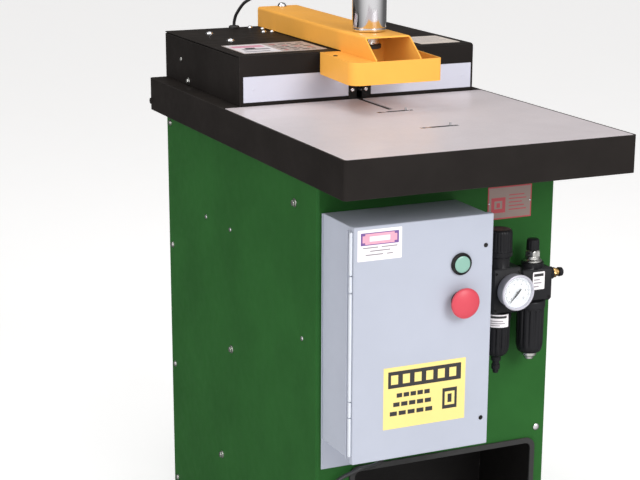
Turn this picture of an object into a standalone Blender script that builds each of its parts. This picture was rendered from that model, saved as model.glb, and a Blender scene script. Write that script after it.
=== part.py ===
"""Pneumatic corner rounder on a floor cabinet: metres, +Z up, operator at -Y.

The origin is on the floor, under the middle of the table. A work piece lies on the laminate against the
fence, the clamp cylinder on the arm holds it down, and the spindle behind the fence climbs past its
corner in the notch.
"""
import math

import bmesh
import bpy
from mathutils import Matrix, Vector

# ---- driving dimensions ------------------------------------------------------------------------------
TABLE_W = 0.6096  # 24 in wide work surface
TABLE_D = 1.044
TABLE_TOP = 1.016  # 40 in working height
APRON_H = 0.0727
APRON_T = 0.004
DECK_T = 0.006
SURFACE_T = 0.0027  # laminate and rear deck
GAP = 0.0003  # between touching pieces

WORK_X = 0.0086  # centre line of the arm, guard and cylinder
FENCE_Y = 0.0660  # front face of the fence backer
NOTCH = (-0.0155, 0.0348)
NOTCH_TOP = 1.092

CAB_X = (-0.2678, 0.2516)
CAB_Y = (-0.3261, 0.5114)
SKID_H = 0.015
SHEET = 0.0025
RECESS_X = (-0.1970, 0.2269)  # outer edge of the rubber trim round the pedal recess
RECESS_Z = (0.0600, 0.3555)

HOUSE_X = (-0.2651, 0.2809)
HOUSE_REAR = 0.5197
HOUSE_TOP = 1.1202

ARM_X = (-0.0440, 0.0590)
ARM_RISE = 0.005  # the top of the arm is higher at its rear end
ARM_Z = (1.1221, 1.1619)
ARM_FRONT = -0.0612
ARM_REAR = 0.503
PLATE = 0.003
GUARD_X = (-0.0990, 0.1035)
GUARD_SKEW = (0.0115, 0.0130)  # how far right of its front end each side of the guard ends
GUARD_Y = (-0.1185, 0.0580)
GUARD_Z = (1.0741, 1.1203)

CLAMP_Y = 0.0240
CLAMP_R = 0.0357  # 2 1/2 in bore cylinder
CLAMP_TOP = 1.305
PAD_LOW = 1.1279

BOX_X = (-0.2596, 0.0298)  # control enclosure, outside of the door
BOX_Z = (0.4220, 0.8798)
DOOR_FRONT = -0.4693
DOOR_RETURN = 0.0140
BUTTON_X = -0.0378
START_Z = 0.7894
STOP_Z = 0.7178

AIR_Y = -0.3696  # axis of the air preparation unit's bowls
REG_X = 0.1037
LUB_X = 0.1795
DIAL_AT = (0.1188, -0.4224, 0.7015)

SPINDLE_Z = 1.0357
SPINDLE_R = 0.0175
LIFT_Y = 0.2304
POST_X = 0.050

STOPS = {"front": -0.2952, "rear": -0.1070}  # Y of the two flip stops

FLOOR = Vector((0, 0, 0))
UP = Vector((0, 0, 1))
FRONT, BACK = Vector((0, -1, 0)), Vector((0, 1, 0))
LEFT, RIGHT = Vector((-1, 0, 0)), Vector((1, 0, 0))

# ---- scene and collections ---------------------------------------------------------------------------
for old in list(bpy.data.objects):
    bpy.data.objects.remove(old, do_unlink=True)

PARTS = bpy.data.collections.new("corner_rounder")
CUTTERS = bpy.data.collections.new("cutters")
for made in (PARTS, CUTTERS):
    bpy.context.scene.collection.children.link(made)


def material(name, colour, roughness, metallic=0.0):
    mat = bpy.data.materials.new(name)
    mat.use_nodes = True
    shader = mat.node_tree.nodes["Principled BSDF"]
    shader.inputs["Base Color"].default_value = (*colour, 1.0)
    shader.inputs["Roughness"].default_value = roughness
    shader.inputs["Metallic"].default_value = metallic
    return mat


GREEN = material("green_enamel", (0.030, 0.115, 0.032), 0.38)
BLACK = material("black_powder_coat", (0.012, 0.011, 0.011), 0.45)
LAMINATE = material("grey_laminate", (0.60, 0.53, 0.52), 0.42)
YELLOW = material("yellow_enamel", (0.86, 0.42, 0.08), 0.35)
PALE = material("pale_grey_enamel", (0.60, 0.63, 0.71), 0.40)
ALUMINIUM = material("anodised_aluminium", (0.70, 0.70, 0.76), 0.35, 0.6)
STAINLESS = material("polished_stainless", (0.78, 0.77, 0.78), 0.14, 1.0)
ZINC = material("zinc_plated_steel", (0.62, 0.62, 0.60), 0.30, 0.9)
STEEL = material("machined_steel", (0.35, 0.35, 0.36), 0.38, 0.9)
CARBIDE = material("dark_carbide", (0.08, 0.08, 0.085), 0.40, 0.7)
RUBBER = material("black_rubber", (0.014, 0.014, 0.014), 0.70)
PLASTIC = material("black_plastic", (0.016, 0.016, 0.018), 0.42)
RED = material("red_plastic", (0.82, 0.06, 0.10), 0.35)
LENS = material("green_lens", (0.35, 0.66, 0.52), 0.25)
DIAL = material("white_dial", (0.85, 0.88, 0.90), 0.35)


# ---- shape helpers -----------------------------------------------------------------------------------
def place(name, mesh, mat, where=FLOOR, home=PARTS):
    thing = bpy.data.objects.new(name, mesh)
    thing.location = where
    home.objects.link(thing)
    if mat:
        mesh.materials.append(mat)
    if home is CUTTERS:
        thing.hide_render = True
        thing.display_type = "WIRE"
    return thing


def finish_mesh(bm, name):
    mesh = bpy.data.meshes.new(name)
    bm.to_mesh(mesh)
    bm.free()
    return mesh


def box(name, low, high, mat=None, edge=0.0, origin=None, home=PARTS):
    """A block between two corners, with its edges rounded by one flat if edge is given."""
    low, high = Vector(low), Vector(high)
    origin = Vector(origin) if origin else (low + high) / 2
    bm = bmesh.new()
    bmesh.ops.create_cube(bm, size=1.0)
    bmesh.ops.scale(bm, vec=high - low, verts=bm.verts)
    bmesh.ops.translate(bm, vec=(low + high) / 2 - origin, verts=bm.verts)
    thing = place(name, finish_mesh(bm, name), mat, origin, home)
    if edge:
        bevel = thing.modifiers.new("edges", "BEVEL")
        bevel.width = edge
        bevel.segments = 1
        bevel.limit_method = "ANGLE"
    return thing


def rod(name, start, direction, length, radius, mat=None, sides=24, origin=None, home=PARTS):
    """A straight round or many-sided bar from start along direction."""
    start, direction = Vector(start), Vector(direction).normalized()
    origin = Vector(origin) if origin else start
    bm = bmesh.new()
    turn = direction.to_track_quat("Z", "Y").to_matrix().to_4x4()
    middle = Matrix.Translation(start + direction * length / 2 - origin)
    bmesh.ops.create_cone(
        bm, cap_ends=True, segments=sides, radius1=radius, radius2=radius, depth=length,
        matrix=middle @ turn,
    )
    thing = place(name, finish_mesh(bm, name), mat, origin, home)
    if sides > 8:
        thing.data.shade_smooth()
        thing.data.set_sharp_from_angle(angle=math.radians(35))
    return thing


def turned(name, profile, base, direction, mat, steps=24, home=PARTS):
    """A turned piece: profile is (radius, height) down its outside, then up its bore if it has one."""
    bm = bmesh.new()
    verts = [bm.verts.new((radius, 0.0, height)) for radius, height in profile]
    closed = profile[0][0] > 0 or profile[-1][0] > 0
    pairs = list(zip(verts, verts[1:]))
    if closed:
        pairs.append((verts[-1], verts[0]))
    for pair in pairs:
        bm.edges.new(pair)
    thing = place(name, finish_mesh(bm, name), mat, Vector(base), home)
    thing.rotation_mode = "QUATERNION"
    thing.rotation_quaternion = Vector(direction).to_track_quat("Z", "Y")
    screw = thing.modifiers.new("turn", "SCREW")
    screw.axis = "Z"
    screw.angle = 2 * math.pi
    screw.steps = screw.render_steps = steps
    screw.use_merge_vertices = True
    screw.merge_threshold = 0.00005
    screw.use_smooth_shade = True
    return thing


def rounded(corners, radii, segments=4):
    """The outline through the corners, each rounded by its radius (0 keeps it sharp)."""
    points = []
    count = len(corners)
    for i, (corner, radius) in enumerate(zip(corners, radii)):
        corner = Vector(corner)
        before = (Vector(corners[i - 1]) - corner).normalized()
        after = (Vector(corners[(i + 1) % count]) - corner).normalized()
        if radius <= 0:
            points.append(corner)
            continue
        half = before.angle(after) / 2
        centre = corner + (before + after).normalized() * radius / math.sin(half)
        start = corner + before * radius / math.tan(half) - centre
        end = corner + after * radius / math.tan(half) - centre
        sweep = start.angle_signed(end)
        for k in range(segments + 1):
            points.append(centre + Matrix.Rotation(-sweep * k / segments, 2) @ start)
    return [(p.x, p.y) for p in points]


def rectangle(x, y, radius=0.0, segments=4):
    corners = [(x[0], y[0]), (x[1], y[0]), (x[1], y[1]), (x[0], y[1])]
    return rounded(corners, [radius] * 4, segments)


def flat(name, outlines, span, mat=None, plane="XY", home=PARTS):
    """A flat solid: the first outline filled, the others cut out, between the two heights in span.

    plane XY stands on Z, XZ (outline in X and Z) on Y, and YZ (outline in Y and Z) on X.
    """
    curve = bpy.data.curves.new(name, "CURVE")
    curve.dimensions = "2D"
    curve.fill_mode = "BOTH"
    curve.extrude = (span[1] - span[0]) / 2
    for outline in outlines:
        spline = curve.splines.new("POLY")
        spline.points.add(len(outline) - 1)
        for point, (u, v) in zip(spline.points, outline):
            point.co = (u, v, 0.0, 1.0)
        spline.use_cyclic_u = True
    drawn = bpy.data.objects.new(name + "_drawing", curve)
    PARTS.objects.link(drawn)
    bpy.context.view_layer.update()
    graph = bpy.context.evaluated_depsgraph_get()
    mesh = bpy.data.meshes.new_from_object(drawn.evaluated_get(graph))
    bpy.data.objects.remove(drawn, do_unlink=True)
    bm = bmesh.new()
    bm.from_mesh(mesh)
    bmesh.ops.remove_doubles(bm, verts=bm.verts, dist=0.00002)
    middle = (span[0] + span[1]) / 2
    frame = {
        "XY": Matrix(((1, 0, 0), (0, 1, 0), (0, 0, 1))),
        "XZ": Matrix(((1, 0, 0), (0, 0, 1), (0, 1, 0))),
        "YZ": Matrix(((0, 0, 1), (1, 0, 0), (0, 1, 0))),
    }[plane]
    shift = {"XY": UP, "XZ": BACK, "YZ": RIGHT}[plane] * middle
    bmesh.ops.transform(bm, matrix=Matrix.Translation(shift) @ frame.to_4x4(), verts=bm.verts)
    bmesh.ops.recalc_face_normals(bm, faces=bm.faces)
    bm.to_mesh(mesh)
    bm.free()
    mesh.materials.clear()
    return place(name, mesh, mat, home=home)


def folded(name, line, along, length, thickness, mat, side):
    """A folded sheet: an open line swept along a direction and thickened to one side (1 or -1)."""
    bm = bmesh.new()
    verts = [bm.verts.new(point) for point in line]
    edges = [bm.edges.new(pair) for pair in zip(verts, verts[1:])]
    swept = bmesh.ops.extrude_edge_only(bm, edges=edges)
    moved = [v for v in swept["geom"] if isinstance(v, bmesh.types.BMVert)]
    bmesh.ops.translate(bm, vec=Vector(along) * length, verts=moved)
    thing = place(name, finish_mesh(bm, name), mat)
    solid = thing.modifiers.new("sheet", "SOLIDIFY")
    solid.thickness = thickness
    solid.offset = side
    solid.use_even_offset = True
    return thing


def boolean(thing, other, operation="DIFFERENCE"):
    cut = thing.modifiers.new(operation.lower(), "BOOLEAN")
    cut.operation = operation
    cut.solver = "EXACT"
    cut.object = other
    return thing


def cut_box(thing, low, high):
    return boolean(thing, box(thing.name + "_cut", low, high, home=CUTTERS))


def cut_rod(thing, start, direction, length, radius, sides=20):
    cutter = rod(thing.name + "_bore", start, direction, length, radius, sides=sides, home=CUTTERS)
    return boolean(thing, cutter)


def weld_box(thing, low, high):
    return boolean(thing, box(thing.name + "_weld", low, high, home=CUTTERS), "UNION")


def weld_rod(thing, start, direction, length, radius, sides=20):
    added = rod(thing.name + "_boss", start, direction, length, radius, sides=sides, home=CUTTERS)
    return boolean(thing, added, "UNION")


def hose(name, route, radius, mat, per_step=5):
    """A bent round hose or lead: a smooth curve through the route's points, read off at even steps."""
    points = [Vector(p) for p in route]
    ends = [points[0] * 2 - points[1]] + points + [points[-1] * 2 - points[-2]]
    line = []
    for a, b, c, d in zip(ends, ends[1:], ends[2:], ends[3:]):
        for k in range(per_step):
            t = k / per_step
            line.append(
                0.5 * (2 * b + (c - a) * t + (2 * a - 5 * b + 4 * c - d) * t**2
                       + (3 * b - a - 3 * c + d) * t**3)
            )
    line.append(points[-1])
    curve = bpy.data.curves.new(name, "CURVE")
    curve.dimensions = "3D"
    curve.bevel_depth = radius
    curve.bevel_resolution = 2
    curve.use_fill_caps = True
    spline = curve.splines.new("POLY")
    spline.points.add(len(line) - 1)
    for point, place_at in zip(spline.points, line):
        point.co = (*place_at, 1.0)
    thing = bpy.data.objects.new(name, curve)
    curve.materials.append(mat)
    PARTS.objects.link(thing)
    return thing


# ---- cabinet -----------------------------------------------------------------------------------------
def make_cabinet():
    x0, x1 = CAB_X
    y0, y1 = CAB_Y
    top = TABLE_TOP - SURFACE_T - GAP - DECK_T - GAP
    plan = rounded([(x1, y1), (x1, y0), (x0, y0), (x0, y1)], [0, 0.006, 0.006, 0], 3)
    line = [(x, y, SKID_H) for x, y in plan]
    wrap = folded("cabinet_wrap", line, UP, top - SKID_H, SHEET, GREEN, -1)
    trim = 0.005
    hole_x = (RECESS_X[0] + trim, RECESS_X[1] - trim)
    hole_z = (RECESS_Z[0] + trim, RECESS_Z[1] - trim)
    hole = flat("recess_hole", [rectangle(hole_x, hole_z, 0.016)], (y0 - 0.01, y0 + 0.01), None, "XZ", CUTTERS)
    boolean(wrap, hole)

    inside = SHEET + GAP
    base_top = SKID_H + 0.0035
    left, right, front, rear = x0 + inside, x1 - inside, y0 + inside, y1 - 0.0055
    plan = rounded([(left, front), (right, front), (right, rear), (left, rear)], [0.006, 0.006, 0, 0])
    flat("cabinet_base", [plan], (SKID_H, base_top), GREEN)
    for side, x in (("left", x0), ("right", x1 - 0.070)):
        box("base_rail_" + side, (x, -0.290, 0), (x + 0.070, 0.480, SKID_H - GAP), BLACK, 0.003)

    back = y1 - 0.0005
    line = [(left, back - 0.022), (left, back), (right, back), (right, back - 0.022)]
    line = [(x, y, base_top + GAP) for x, y in line]
    folded("cabinet_rear", line, UP, top - base_top - GAP, 0.002, GREEN, -1)


def make_recess():
    y0 = CAB_Y[0]
    x, z = RECESS_X, RECESS_Z
    wall = y0 + SHEET + GAP
    low, high = (x[0] + 0.0032, wall, z[0] + 0.0032), (x[1] - 0.0032, -0.115, z[1] - 0.0032)
    liner = box("recess_liner", low, high, BLACK)
    cut_box(liner, (x[0] + 0.005, y0 - 0.01, z[0] + 0.005), (x[1] - 0.005, -0.117, z[1] - 0.005))
    outer = rectangle(x, z, 0.0205, 5)
    inner = rectangle((x[0] + 0.011, x[1] - 0.011), (z[0] + 0.011, z[1] - 0.011), 0.0115, 5)
    flat("recess_trim", [outer, inner], (y0 - 0.0045, y0 - GAP), RUBBER, "XZ")

    middle = (x[0] + x[1]) / 2
    floor = z[0] + 0.005 + GAP
    low, high = (middle - 0.055, -0.288, floor), (middle + 0.055, -0.144, floor + 0.006)
    base = box("pedal_base", low, high, BLACK, 0.0015)
    for side in (-1, 1):
        edge = middle + side * 0.053
        weld_box(base, (edge - 0.002, -0.286, floor + 0.003), (edge + 0.002, -0.252, floor + 0.030))
    hinge = Vector((middle, -0.272, floor + 0.021))
    low, high = (middle - 0.047, -0.284, floor + 0.018), (middle + 0.047, -0.150, floor + 0.024)
    treadle = box("pedal_treadle", low, high, RUBBER, 0.0015, origin=hinge)
    treadle.rotation_euler = (math.radians(11), 0, 0)


# ---- table -------------------------------------------------------------------------------------------
def make_table():
    half_w, half_d = TABLE_W / 2, TABLE_D / 2
    seat = TABLE_TOP - SURFACE_T - GAP
    bottom = TABLE_TOP - APRON_H
    below = TABLE_TOP - 0.030
    outer = rectangle((-half_w, half_w), (-half_d, half_d), 0.008)
    tray = flat("table_tray", [outer], (bottom, TABLE_TOP), BLACK)
    in_w, in_d = half_w - APRON_T, half_d - APRON_T
    inner = rectangle((-in_w, in_w), (-in_d, in_d), 0.005, 2)
    boolean(tray, flat("tray_underside", [inner], (bottom - 0.01, seat - DECK_T), home=CUTTERS))
    boolean(tray, flat("tray_seat", [inner], (seat, TABLE_TOP + 0.01), home=CUTTERS))
    cut_rod(tray, (WORK_X, LIFT_Y, below), UP, 0.05, 0.0125)
    for y in STOPS.values():
        cut_box(tray, (-0.0125, y - 0.003, below), (0.0332, y + 0.003, TABLE_TOP + 0.01))
    weld_rod(tray, (-half_w + 0.002, half_d - 0.012, 0.964), LEFT, 0.0055, 0.007, 12)

    in_w, in_d = in_w - GAP, in_d - GAP
    seat += GAP
    split = FENCE_Y - 0.0034
    area = rectangle((-in_w, in_w), (-in_d, split - GAP), 0.004, 2)
    sheet = flat("table_laminate", [area], (seat, TABLE_TOP), LAMINATE)
    slot = (WORK_X - 0.0076, WORK_X + 0.0059)
    cut_box(sheet, (slot[0], STOPS["rear"] + 0.022, below), (slot[1], split + 0.01, TABLE_TOP + 0.01))
    for y in STOPS.values():
        cut_box(sheet, (-0.0363, y - 0.0059, below), (0.0469, y + 0.0059, TABLE_TOP + 0.01))
    deck = flat("rear_deck", [rectangle((-in_w, in_w), (split, in_d), 0.004, 2)], (seat, TABLE_TOP), BLACK)
    cut_rod(deck, (WORK_X, LIFT_Y, below), UP, 0.05, 0.0125)
    for side in (-1, 1):
        weld_rod(deck, (WORK_X + side * POST_X, LIFT_Y, seat + 0.001), UP, 0.099, 0.007, 16)


def make_stops():
    """Sprung fingers that stand out of the table, one in each slotted plate."""
    low, high = TABLE_TOP - SURFACE_T, TABLE_TOP - 0.0002
    shape = [
        (-0.0105, -0.0040), (0.0290, -0.0040), (0.0308, 0.0045), (0.0308, 0.0106), (0.0272, 0.0106),
        (0.0264, 0.0028), (-0.0105, 0.0028),
    ]
    for side, y in STOPS.items():
        plate = box("stop_plate_" + side, (-0.0360, y - 0.0056, low), (0.0466, y + 0.0056, high), ZINC, 0.0005)
        cut_box(plate, (-0.0120, y - 0.002, low - 0.01), (0.0328, y + 0.002, high + 0.01))
        pivot = Vector((-0.0070, y, low - 0.0014))
        finger = flat("stop_finger_" + side, [shape], (-0.0013, 0.0013), STEEL, "XZ")
        finger.data.transform(Matrix.Translation((0.0070, 0, 0)))
        finger.location = pivot


# ---- fence and housing -------------------------------------------------------------------------------
def make_fence():
    x0, x1 = HOUSE_X[0], HOUSE_X[1] - SHEET - GAP
    low, high = TABLE_TOP + GAP, HOUSE_TOP - SHEET - GAP
    face = rounded([(x0, low), (x1, low), (x1, high), (x0, high)], [0, 0, 0.0065, 0])
    backer = flat("fence_backer", [face], (FENCE_Y, FENCE_Y + 0.010), BLACK, "XZ")
    cut_box(backer, (NOTCH[0], FENCE_Y - 0.01, low - 0.01), (NOTCH[1], FENCE_Y + 0.02, NOTCH_TOP))
    strip_z = (1.0233, 1.0766)
    spans = {"left": (-0.2569, NOTCH[0] - 0.0023), "right": (NOTCH[1] + 0.0002, 0.2759)}
    for side, (a, b) in spans.items():
        pocket = (a - GAP, FENCE_Y - 0.01, strip_z[0] - GAP), (b + GAP, FENCE_Y + 0.004, strip_z[1] + GAP)
        cut_box(backer, *pocket)
        strip = (a, FENCE_Y - 0.0006, strip_z[0]), (b, FENCE_Y + 0.0037, strip_z[1])
        box("fence_strip_" + side, *strip, ALUMINIUM, 0.0004)
    spans = {"left": (NOTCH[0] + GAP, 0.0021), "right": (0.0144, NOTCH[1] - GAP)}
    for side, (a, b) in spans.items():
        block = (a, FENCE_Y + 0.0002, low), (b, FENCE_Y + 0.010, 1.0731)
        box("notch_block_" + side, *block, BLACK, 0.0008)


def make_housing():
    x0, x1 = HOUSE_X
    plan = rounded([(x0, HOUSE_TOP), (x1, HOUSE_TOP), (x1, TABLE_TOP + GAP)], [0, 0.008, 0], 4)
    line = [(x, FENCE_Y, z) for x, z in plan]
    lid = folded("housing_lid", line, BACK, HOUSE_REAR - FENCE_Y, SHEET, BLACK, 1)
    cut_box(lid, (WORK_X - 0.0466, 0.3782, 1.1), (WORK_X + 0.0466, 0.5002, 1.13))
    cut_rod(lid, (-0.1032, 0.5030, 1.1), UP, 0.05, 0.009, 12)
    front = FENCE_Y + 0.010 + GAP
    low, high = TABLE_TOP + GAP, HOUSE_TOP - SHEET
    box("housing_side_left", (x0, front, low), (x0 + SHEET, HOUSE_REAR, high - 0.0018), BLACK, 0.0008)
    left, right = x0 + SHEET + GAP, x1 - SHEET - GAP
    high -= GAP
    face = rounded([(left, low), (right, low), (right, high), (left, high)], [0, 0, 0.0065, 0])
    flat("housing_rear", [face], (HOUSE_REAR - SHEET, HOUSE_REAR), BLACK, "XZ")


# ---- arm, guard and clamp ----------------------------------------------------------------------------
def make_arm():
    x0, x1 = ARM_X
    low, high = ARM_Z
    nose = GUARD_Y[0] + PLATE + 0.0004
    section = rounded([(x0, low), (x0, high), (x1, high), (x1, low)], [0, 0.005, 0.005, 0], 3)
    line = [(x, nose, z) for x, z in section]
    arm = folded("arm_channel", line, BACK, ARM_REAR - nose, PLATE, YELLOW, 1)
    for vertex in arm.data.vertices:
        if vertex.co.y > LIFT_Y and vertex.co.z > low + 0.01:
            vertex.co.z += ARM_RISE
    slope = [
        (ARM_FRONT, high + 0.001), (nose - 0.0008, low), (nose - 0.02, low), (nose - 0.02, high + 0.02),
        (ARM_FRONT, high + 0.02),
    ]
    boolean(arm, flat("arm_slope", [slope], (x0 - 0.02, x1 + 0.02), None, "YZ", CUTTERS))
    drop = GUARD_Z[0] + 0.0105
    rear = 0.051
    for a, b in ((x0, x0 + PLATE), (x1 - PLATE, x1)):
        weld_box(arm, (a, nose, drop), (b, rear, low + 0.0005))
    weld_box(arm, (x0 + 0.001, rear - 0.001, drop), (x1 - 0.001, rear + 0.002, high - 0.001))
    cut_rod(arm, (WORK_X, CLAMP_Y, high - 0.016), UP, 0.03, 0.0158, 24)

    low, high = (WORK_X - 0.0459, 0.3792, TABLE_TOP + GAP), (WORK_X + 0.0459, 0.4992, high + 0.0005)
    box("arm_pedestal", low, high, STEEL, 0.001)
    profile = [
        (0, 0.0128), (0.0040, 0.0122), (0.0068, 0.0098), (0.0080, 0.0060), (0.0080, 0.0020), (0.0106, 0.0016),
        (0.0106, 0), (0, 0),
    ]
    turned("arm_dome_nut", profile, (WORK_X, 0.483, ARM_Z[1] + ARM_RISE + GAP), UP, ZINC, 18)


def make_guard():
    x0, x1 = GUARD_X
    y0, y1 = GUARD_Y
    left, right = x0 + GUARD_SKEW[0], x1 + GUARD_SKEW[1]
    low, high = GUARD_Z
    plan = rounded([(right, y1), (x1, y0), (x0, y0), (left, y1)], [0, 0.007, 0.024, 0], 5)
    line = [(x, y, low) for x, y in plan]
    band = folded("guard_band", line, UP, high - low, PLATE, YELLOW, -1)
    reach = PLATE / 2
    arm_side = ARM_X[0] - GAP
    front, rear = y0 + reach, y1 - 0.0002
    corners = [(x0 + reach, front), (arm_side, front), (arm_side, rear), (left + reach, rear)]
    web = flat("guard_web", [rounded(corners, [0.0225, 0, 0, 0])], (high - 0.0032, high - 0.0002), home=CUTTERS)
    boolean(band, web, "UNION")
    cut_rod(band, (-0.0824, -0.0065, high - 0.02), UP, 0.03, 0.0045, 12)


def make_clamp():
    seat = ARM_Z[1] + 0.0014 + GAP
    head, nose, bore = seat + 0.0028, PAD_LOW + 0.0099, 0.0082
    profile = [
        (CLAMP_R, CLAMP_TOP), (CLAMP_R, seat + 0.0082), (CLAMP_R - 0.0008, seat + 0.0068),
        (CLAMP_R - 0.0008, head), (CLAMP_R - 0.0034, seat), (0.0154, seat), (0.0154, nose), (bore, nose),
        (bore, seat + 0.012), (CLAMP_R - 0.0022, seat + 0.012), (CLAMP_R - 0.0022, CLAMP_TOP),
    ]
    turned("clamp_cylinder", profile, (WORK_X, CLAMP_Y, 0), UP, STAINLESS, 32)
    cap = [(0, 0.0205), (0.0290, 0.0205), (CLAMP_R - 0.001, 0.0178), (CLAMP_R - 0.001, 0), (0, 0)]
    turned("cylinder_cap", cap, (WORK_X, CLAMP_Y, CLAMP_TOP + GAP), UP, STAINLESS, 28)
    height = ARM_Z[1] - PLATE - GAP - nose
    nut = rod("nose_nut", (WORK_X, CLAMP_Y, nose), UP, height, 0.0237, ZINC, 6)
    cut_rod(nut, (WORK_X, CLAMP_Y, nose - 0.01), UP, 0.05, 0.0157, 24)
    piston, tail = 0.0330, PAD_LOW + 0.0093
    shaft = [
        (0, 1.2950), (piston, 1.2950), (piston, 1.2810), (0.0078, 1.2810), (0.0078, tail), (0, tail),
    ]
    turned("clamp_rod", shaft, (WORK_X, CLAMP_Y, 0), UP, STEEL, 20)
    pad = [(0, 0.0090), (0.0236, 0.0090), (0.0252, 0.0076), (0.0252, 0.0012), (0.0242, 0), (0, 0)]
    turned("clamp_pad", pad, (WORK_X, CLAMP_Y, PAD_LOW), UP, RUBBER, 24)

    port = CLAMP_TOP + GAP + 0.0205 + GAP
    elbow = rod("cylinder_elbow", (WORK_X, CLAMP_Y, port), UP, 0.021, 0.009, PLASTIC, 6)
    weld_rod(elbow, (WORK_X, CLAMP_Y, port + 0.0135), BACK, 0.025, 0.0068, 14)
    grommet = [
        (0.0105, 0.0060), (0.0125, 0.0035), (0.0125, 0), (0.0085, 0), (0.0085, -0.0060), (0.0047, -0.0060),
        (0.0047, 0.0060),
    ]
    turned("hose_grommet", grommet, (-0.1032, 0.5030, HOUSE_TOP + GAP), UP, RUBBER, 14)
    route = [
        (-0.1032, 0.5030, 1.1050), (-0.1032, 0.5030, 1.1290), (-0.1032, 0.4990, 1.1400), (-0.1032, 0.4850, 1.1560),
        (-0.1032, 0.4420, 1.1830),
        (-0.0990, 0.3900, 1.2050), (-0.0840, 0.3200, 1.2550), (-0.0600, 0.2400, 1.3040), (-0.0330, 0.1650, 1.3330),
        (-0.0080, 0.1080, 1.3410), (0.0060, 0.0740, 1.3405), (WORK_X, CLAMP_Y + 0.0253, port + 0.0135),
    ]
    hose("air_hose", route, 0.0036, RUBBER)


# ---- control enclosure -------------------------------------------------------------------------------
def make_enclosure():
    x0, x1 = BOX_X
    z0, z1 = BOX_Z
    wall = CAB_Y[0] - GAP
    plate = wall - 0.0025
    box("enclosure_mount_plate", (x0 + 0.0009, plate, z0 - 0.0607), (x1 - 0.001, wall, z1 - 0.004), PALE, 0.0006)
    lip, skin = 0.0030, 0.0016
    front = DOOR_FRONT + lip
    rear = plate - GAP
    body = box("enclosure_box", (x0 + lip, front, z0 + lip), (x1 - lip, rear, z1 - lip), PALE, 0.0010)
    inset = lip + skin
    cut_box(body, (x0 + inset, front - 0.01, z0 + inset), (x1 - inset, rear - skin, z1 - inset))
    pin = Vector((x0 - 0.0039, DOOR_FRONT + 0.0183, z0 + 0.008))
    cut_rod(body, (-0.1600, -0.4000, z0 - 0.01), UP, 0.03, 0.0082, 12)

    back = DOOR_FRONT + DOOR_RETURN
    door = box("enclosure_door", (x0, DOOR_FRONT, z0), (x1, back, z1), PALE, 0.0012, origin=pin)
    cut_box(door, (x0 + skin, DOOR_FRONT + skin, z0 + skin), (x1 - skin, back + 0.01, z1 - skin))
    weld_box(door, (x0 - 0.0030, pin.y - 0.0080, pin.z + 0.010), (x0 + 0.0005, pin.y - 0.0005, z1 - 0.018))
    weld_rod(door, pin, UP, z1 - z0 - 0.016, 0.0021, 10)
    for z in (START_Z, STOP_Z):
        cut_rod(door, (BUTTON_X, DOOR_FRONT - 0.01, z), BACK, 0.03, 0.0151)
    make_buttons()
    contactor = box("motor_contactor", (-0.184, plate - 0.082, 0.640), (-0.106, rear - skin - GAP, 0.728), PLASTIC, 0.003)
    weld_box(contactor, (-0.177, plate - 0.096, 0.660), (-0.113, plate - 0.078, 0.708))

    gland = [
        (0.0092, 0), (0.0110, -0.0038), (0.0110, -0.0130), (0.0076, -0.0185), (0.0046, -0.0185), (0.0046, 0.0076),
        (0.0078, 0.0076), (0.0078, 0),
    ]
    turned("lead_gland", gland, (-0.1600, -0.4000, z0 + lip - GAP), UP, PLASTIC, 16)


def make_buttons():
    """Two operators on the door: a flush start button in a ring, and a mushroom stop button."""
    y = DOOR_FRONT - GAP
    start = Vector((BUTTON_X, y, START_Z))
    ring = [
        (0.0172, 0.0052), (0.0195, 0.0052), (0.0213, 0.0034), (0.0213, 0), (0.0147, 0), (0.0147, -0.0155),
        (0.0127, -0.0155), (0.0127, 0.0008), (0.0172, 0.0008),
    ]
    turned("start_bezel", ring, start, FRONT, PLASTIC, 24)
    cap = [
        (0, 0.0080), (0.0146, 0.0080), (0.0166, 0.0062), (0.0166, 0.0046), (0.0122, 0.0046), (0.0122, -0.0100),
        (0, -0.0100),
    ]
    turned("start_button", cap, start, FRONT, LENS, 24)
    stop = Vector((BUTTON_X, y, STOP_Z))
    ring = [
        (0.0118, 0.0076), (0.0160, 0.0076), (0.0194, 0.0038), (0.0194, 0), (0.0147, 0), (0.0147, -0.0155),
        (0.0118, -0.0155),
    ]
    turned("stop_bezel", ring, stop, FRONT, PLASTIC, 24)
    head = [
        (0, 0.0308), (0.0135, 0.0300), (0.0232, 0.0264), (0.0287, 0.0212), (0.0293, 0.0176), (0.0280, 0.0152),
        (0.0114, 0.0147), (0.0114, -0.0100), (0, -0.0100),
    ]
    turned("stop_mushroom", head, stop, FRONT, RED, 28)


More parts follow.
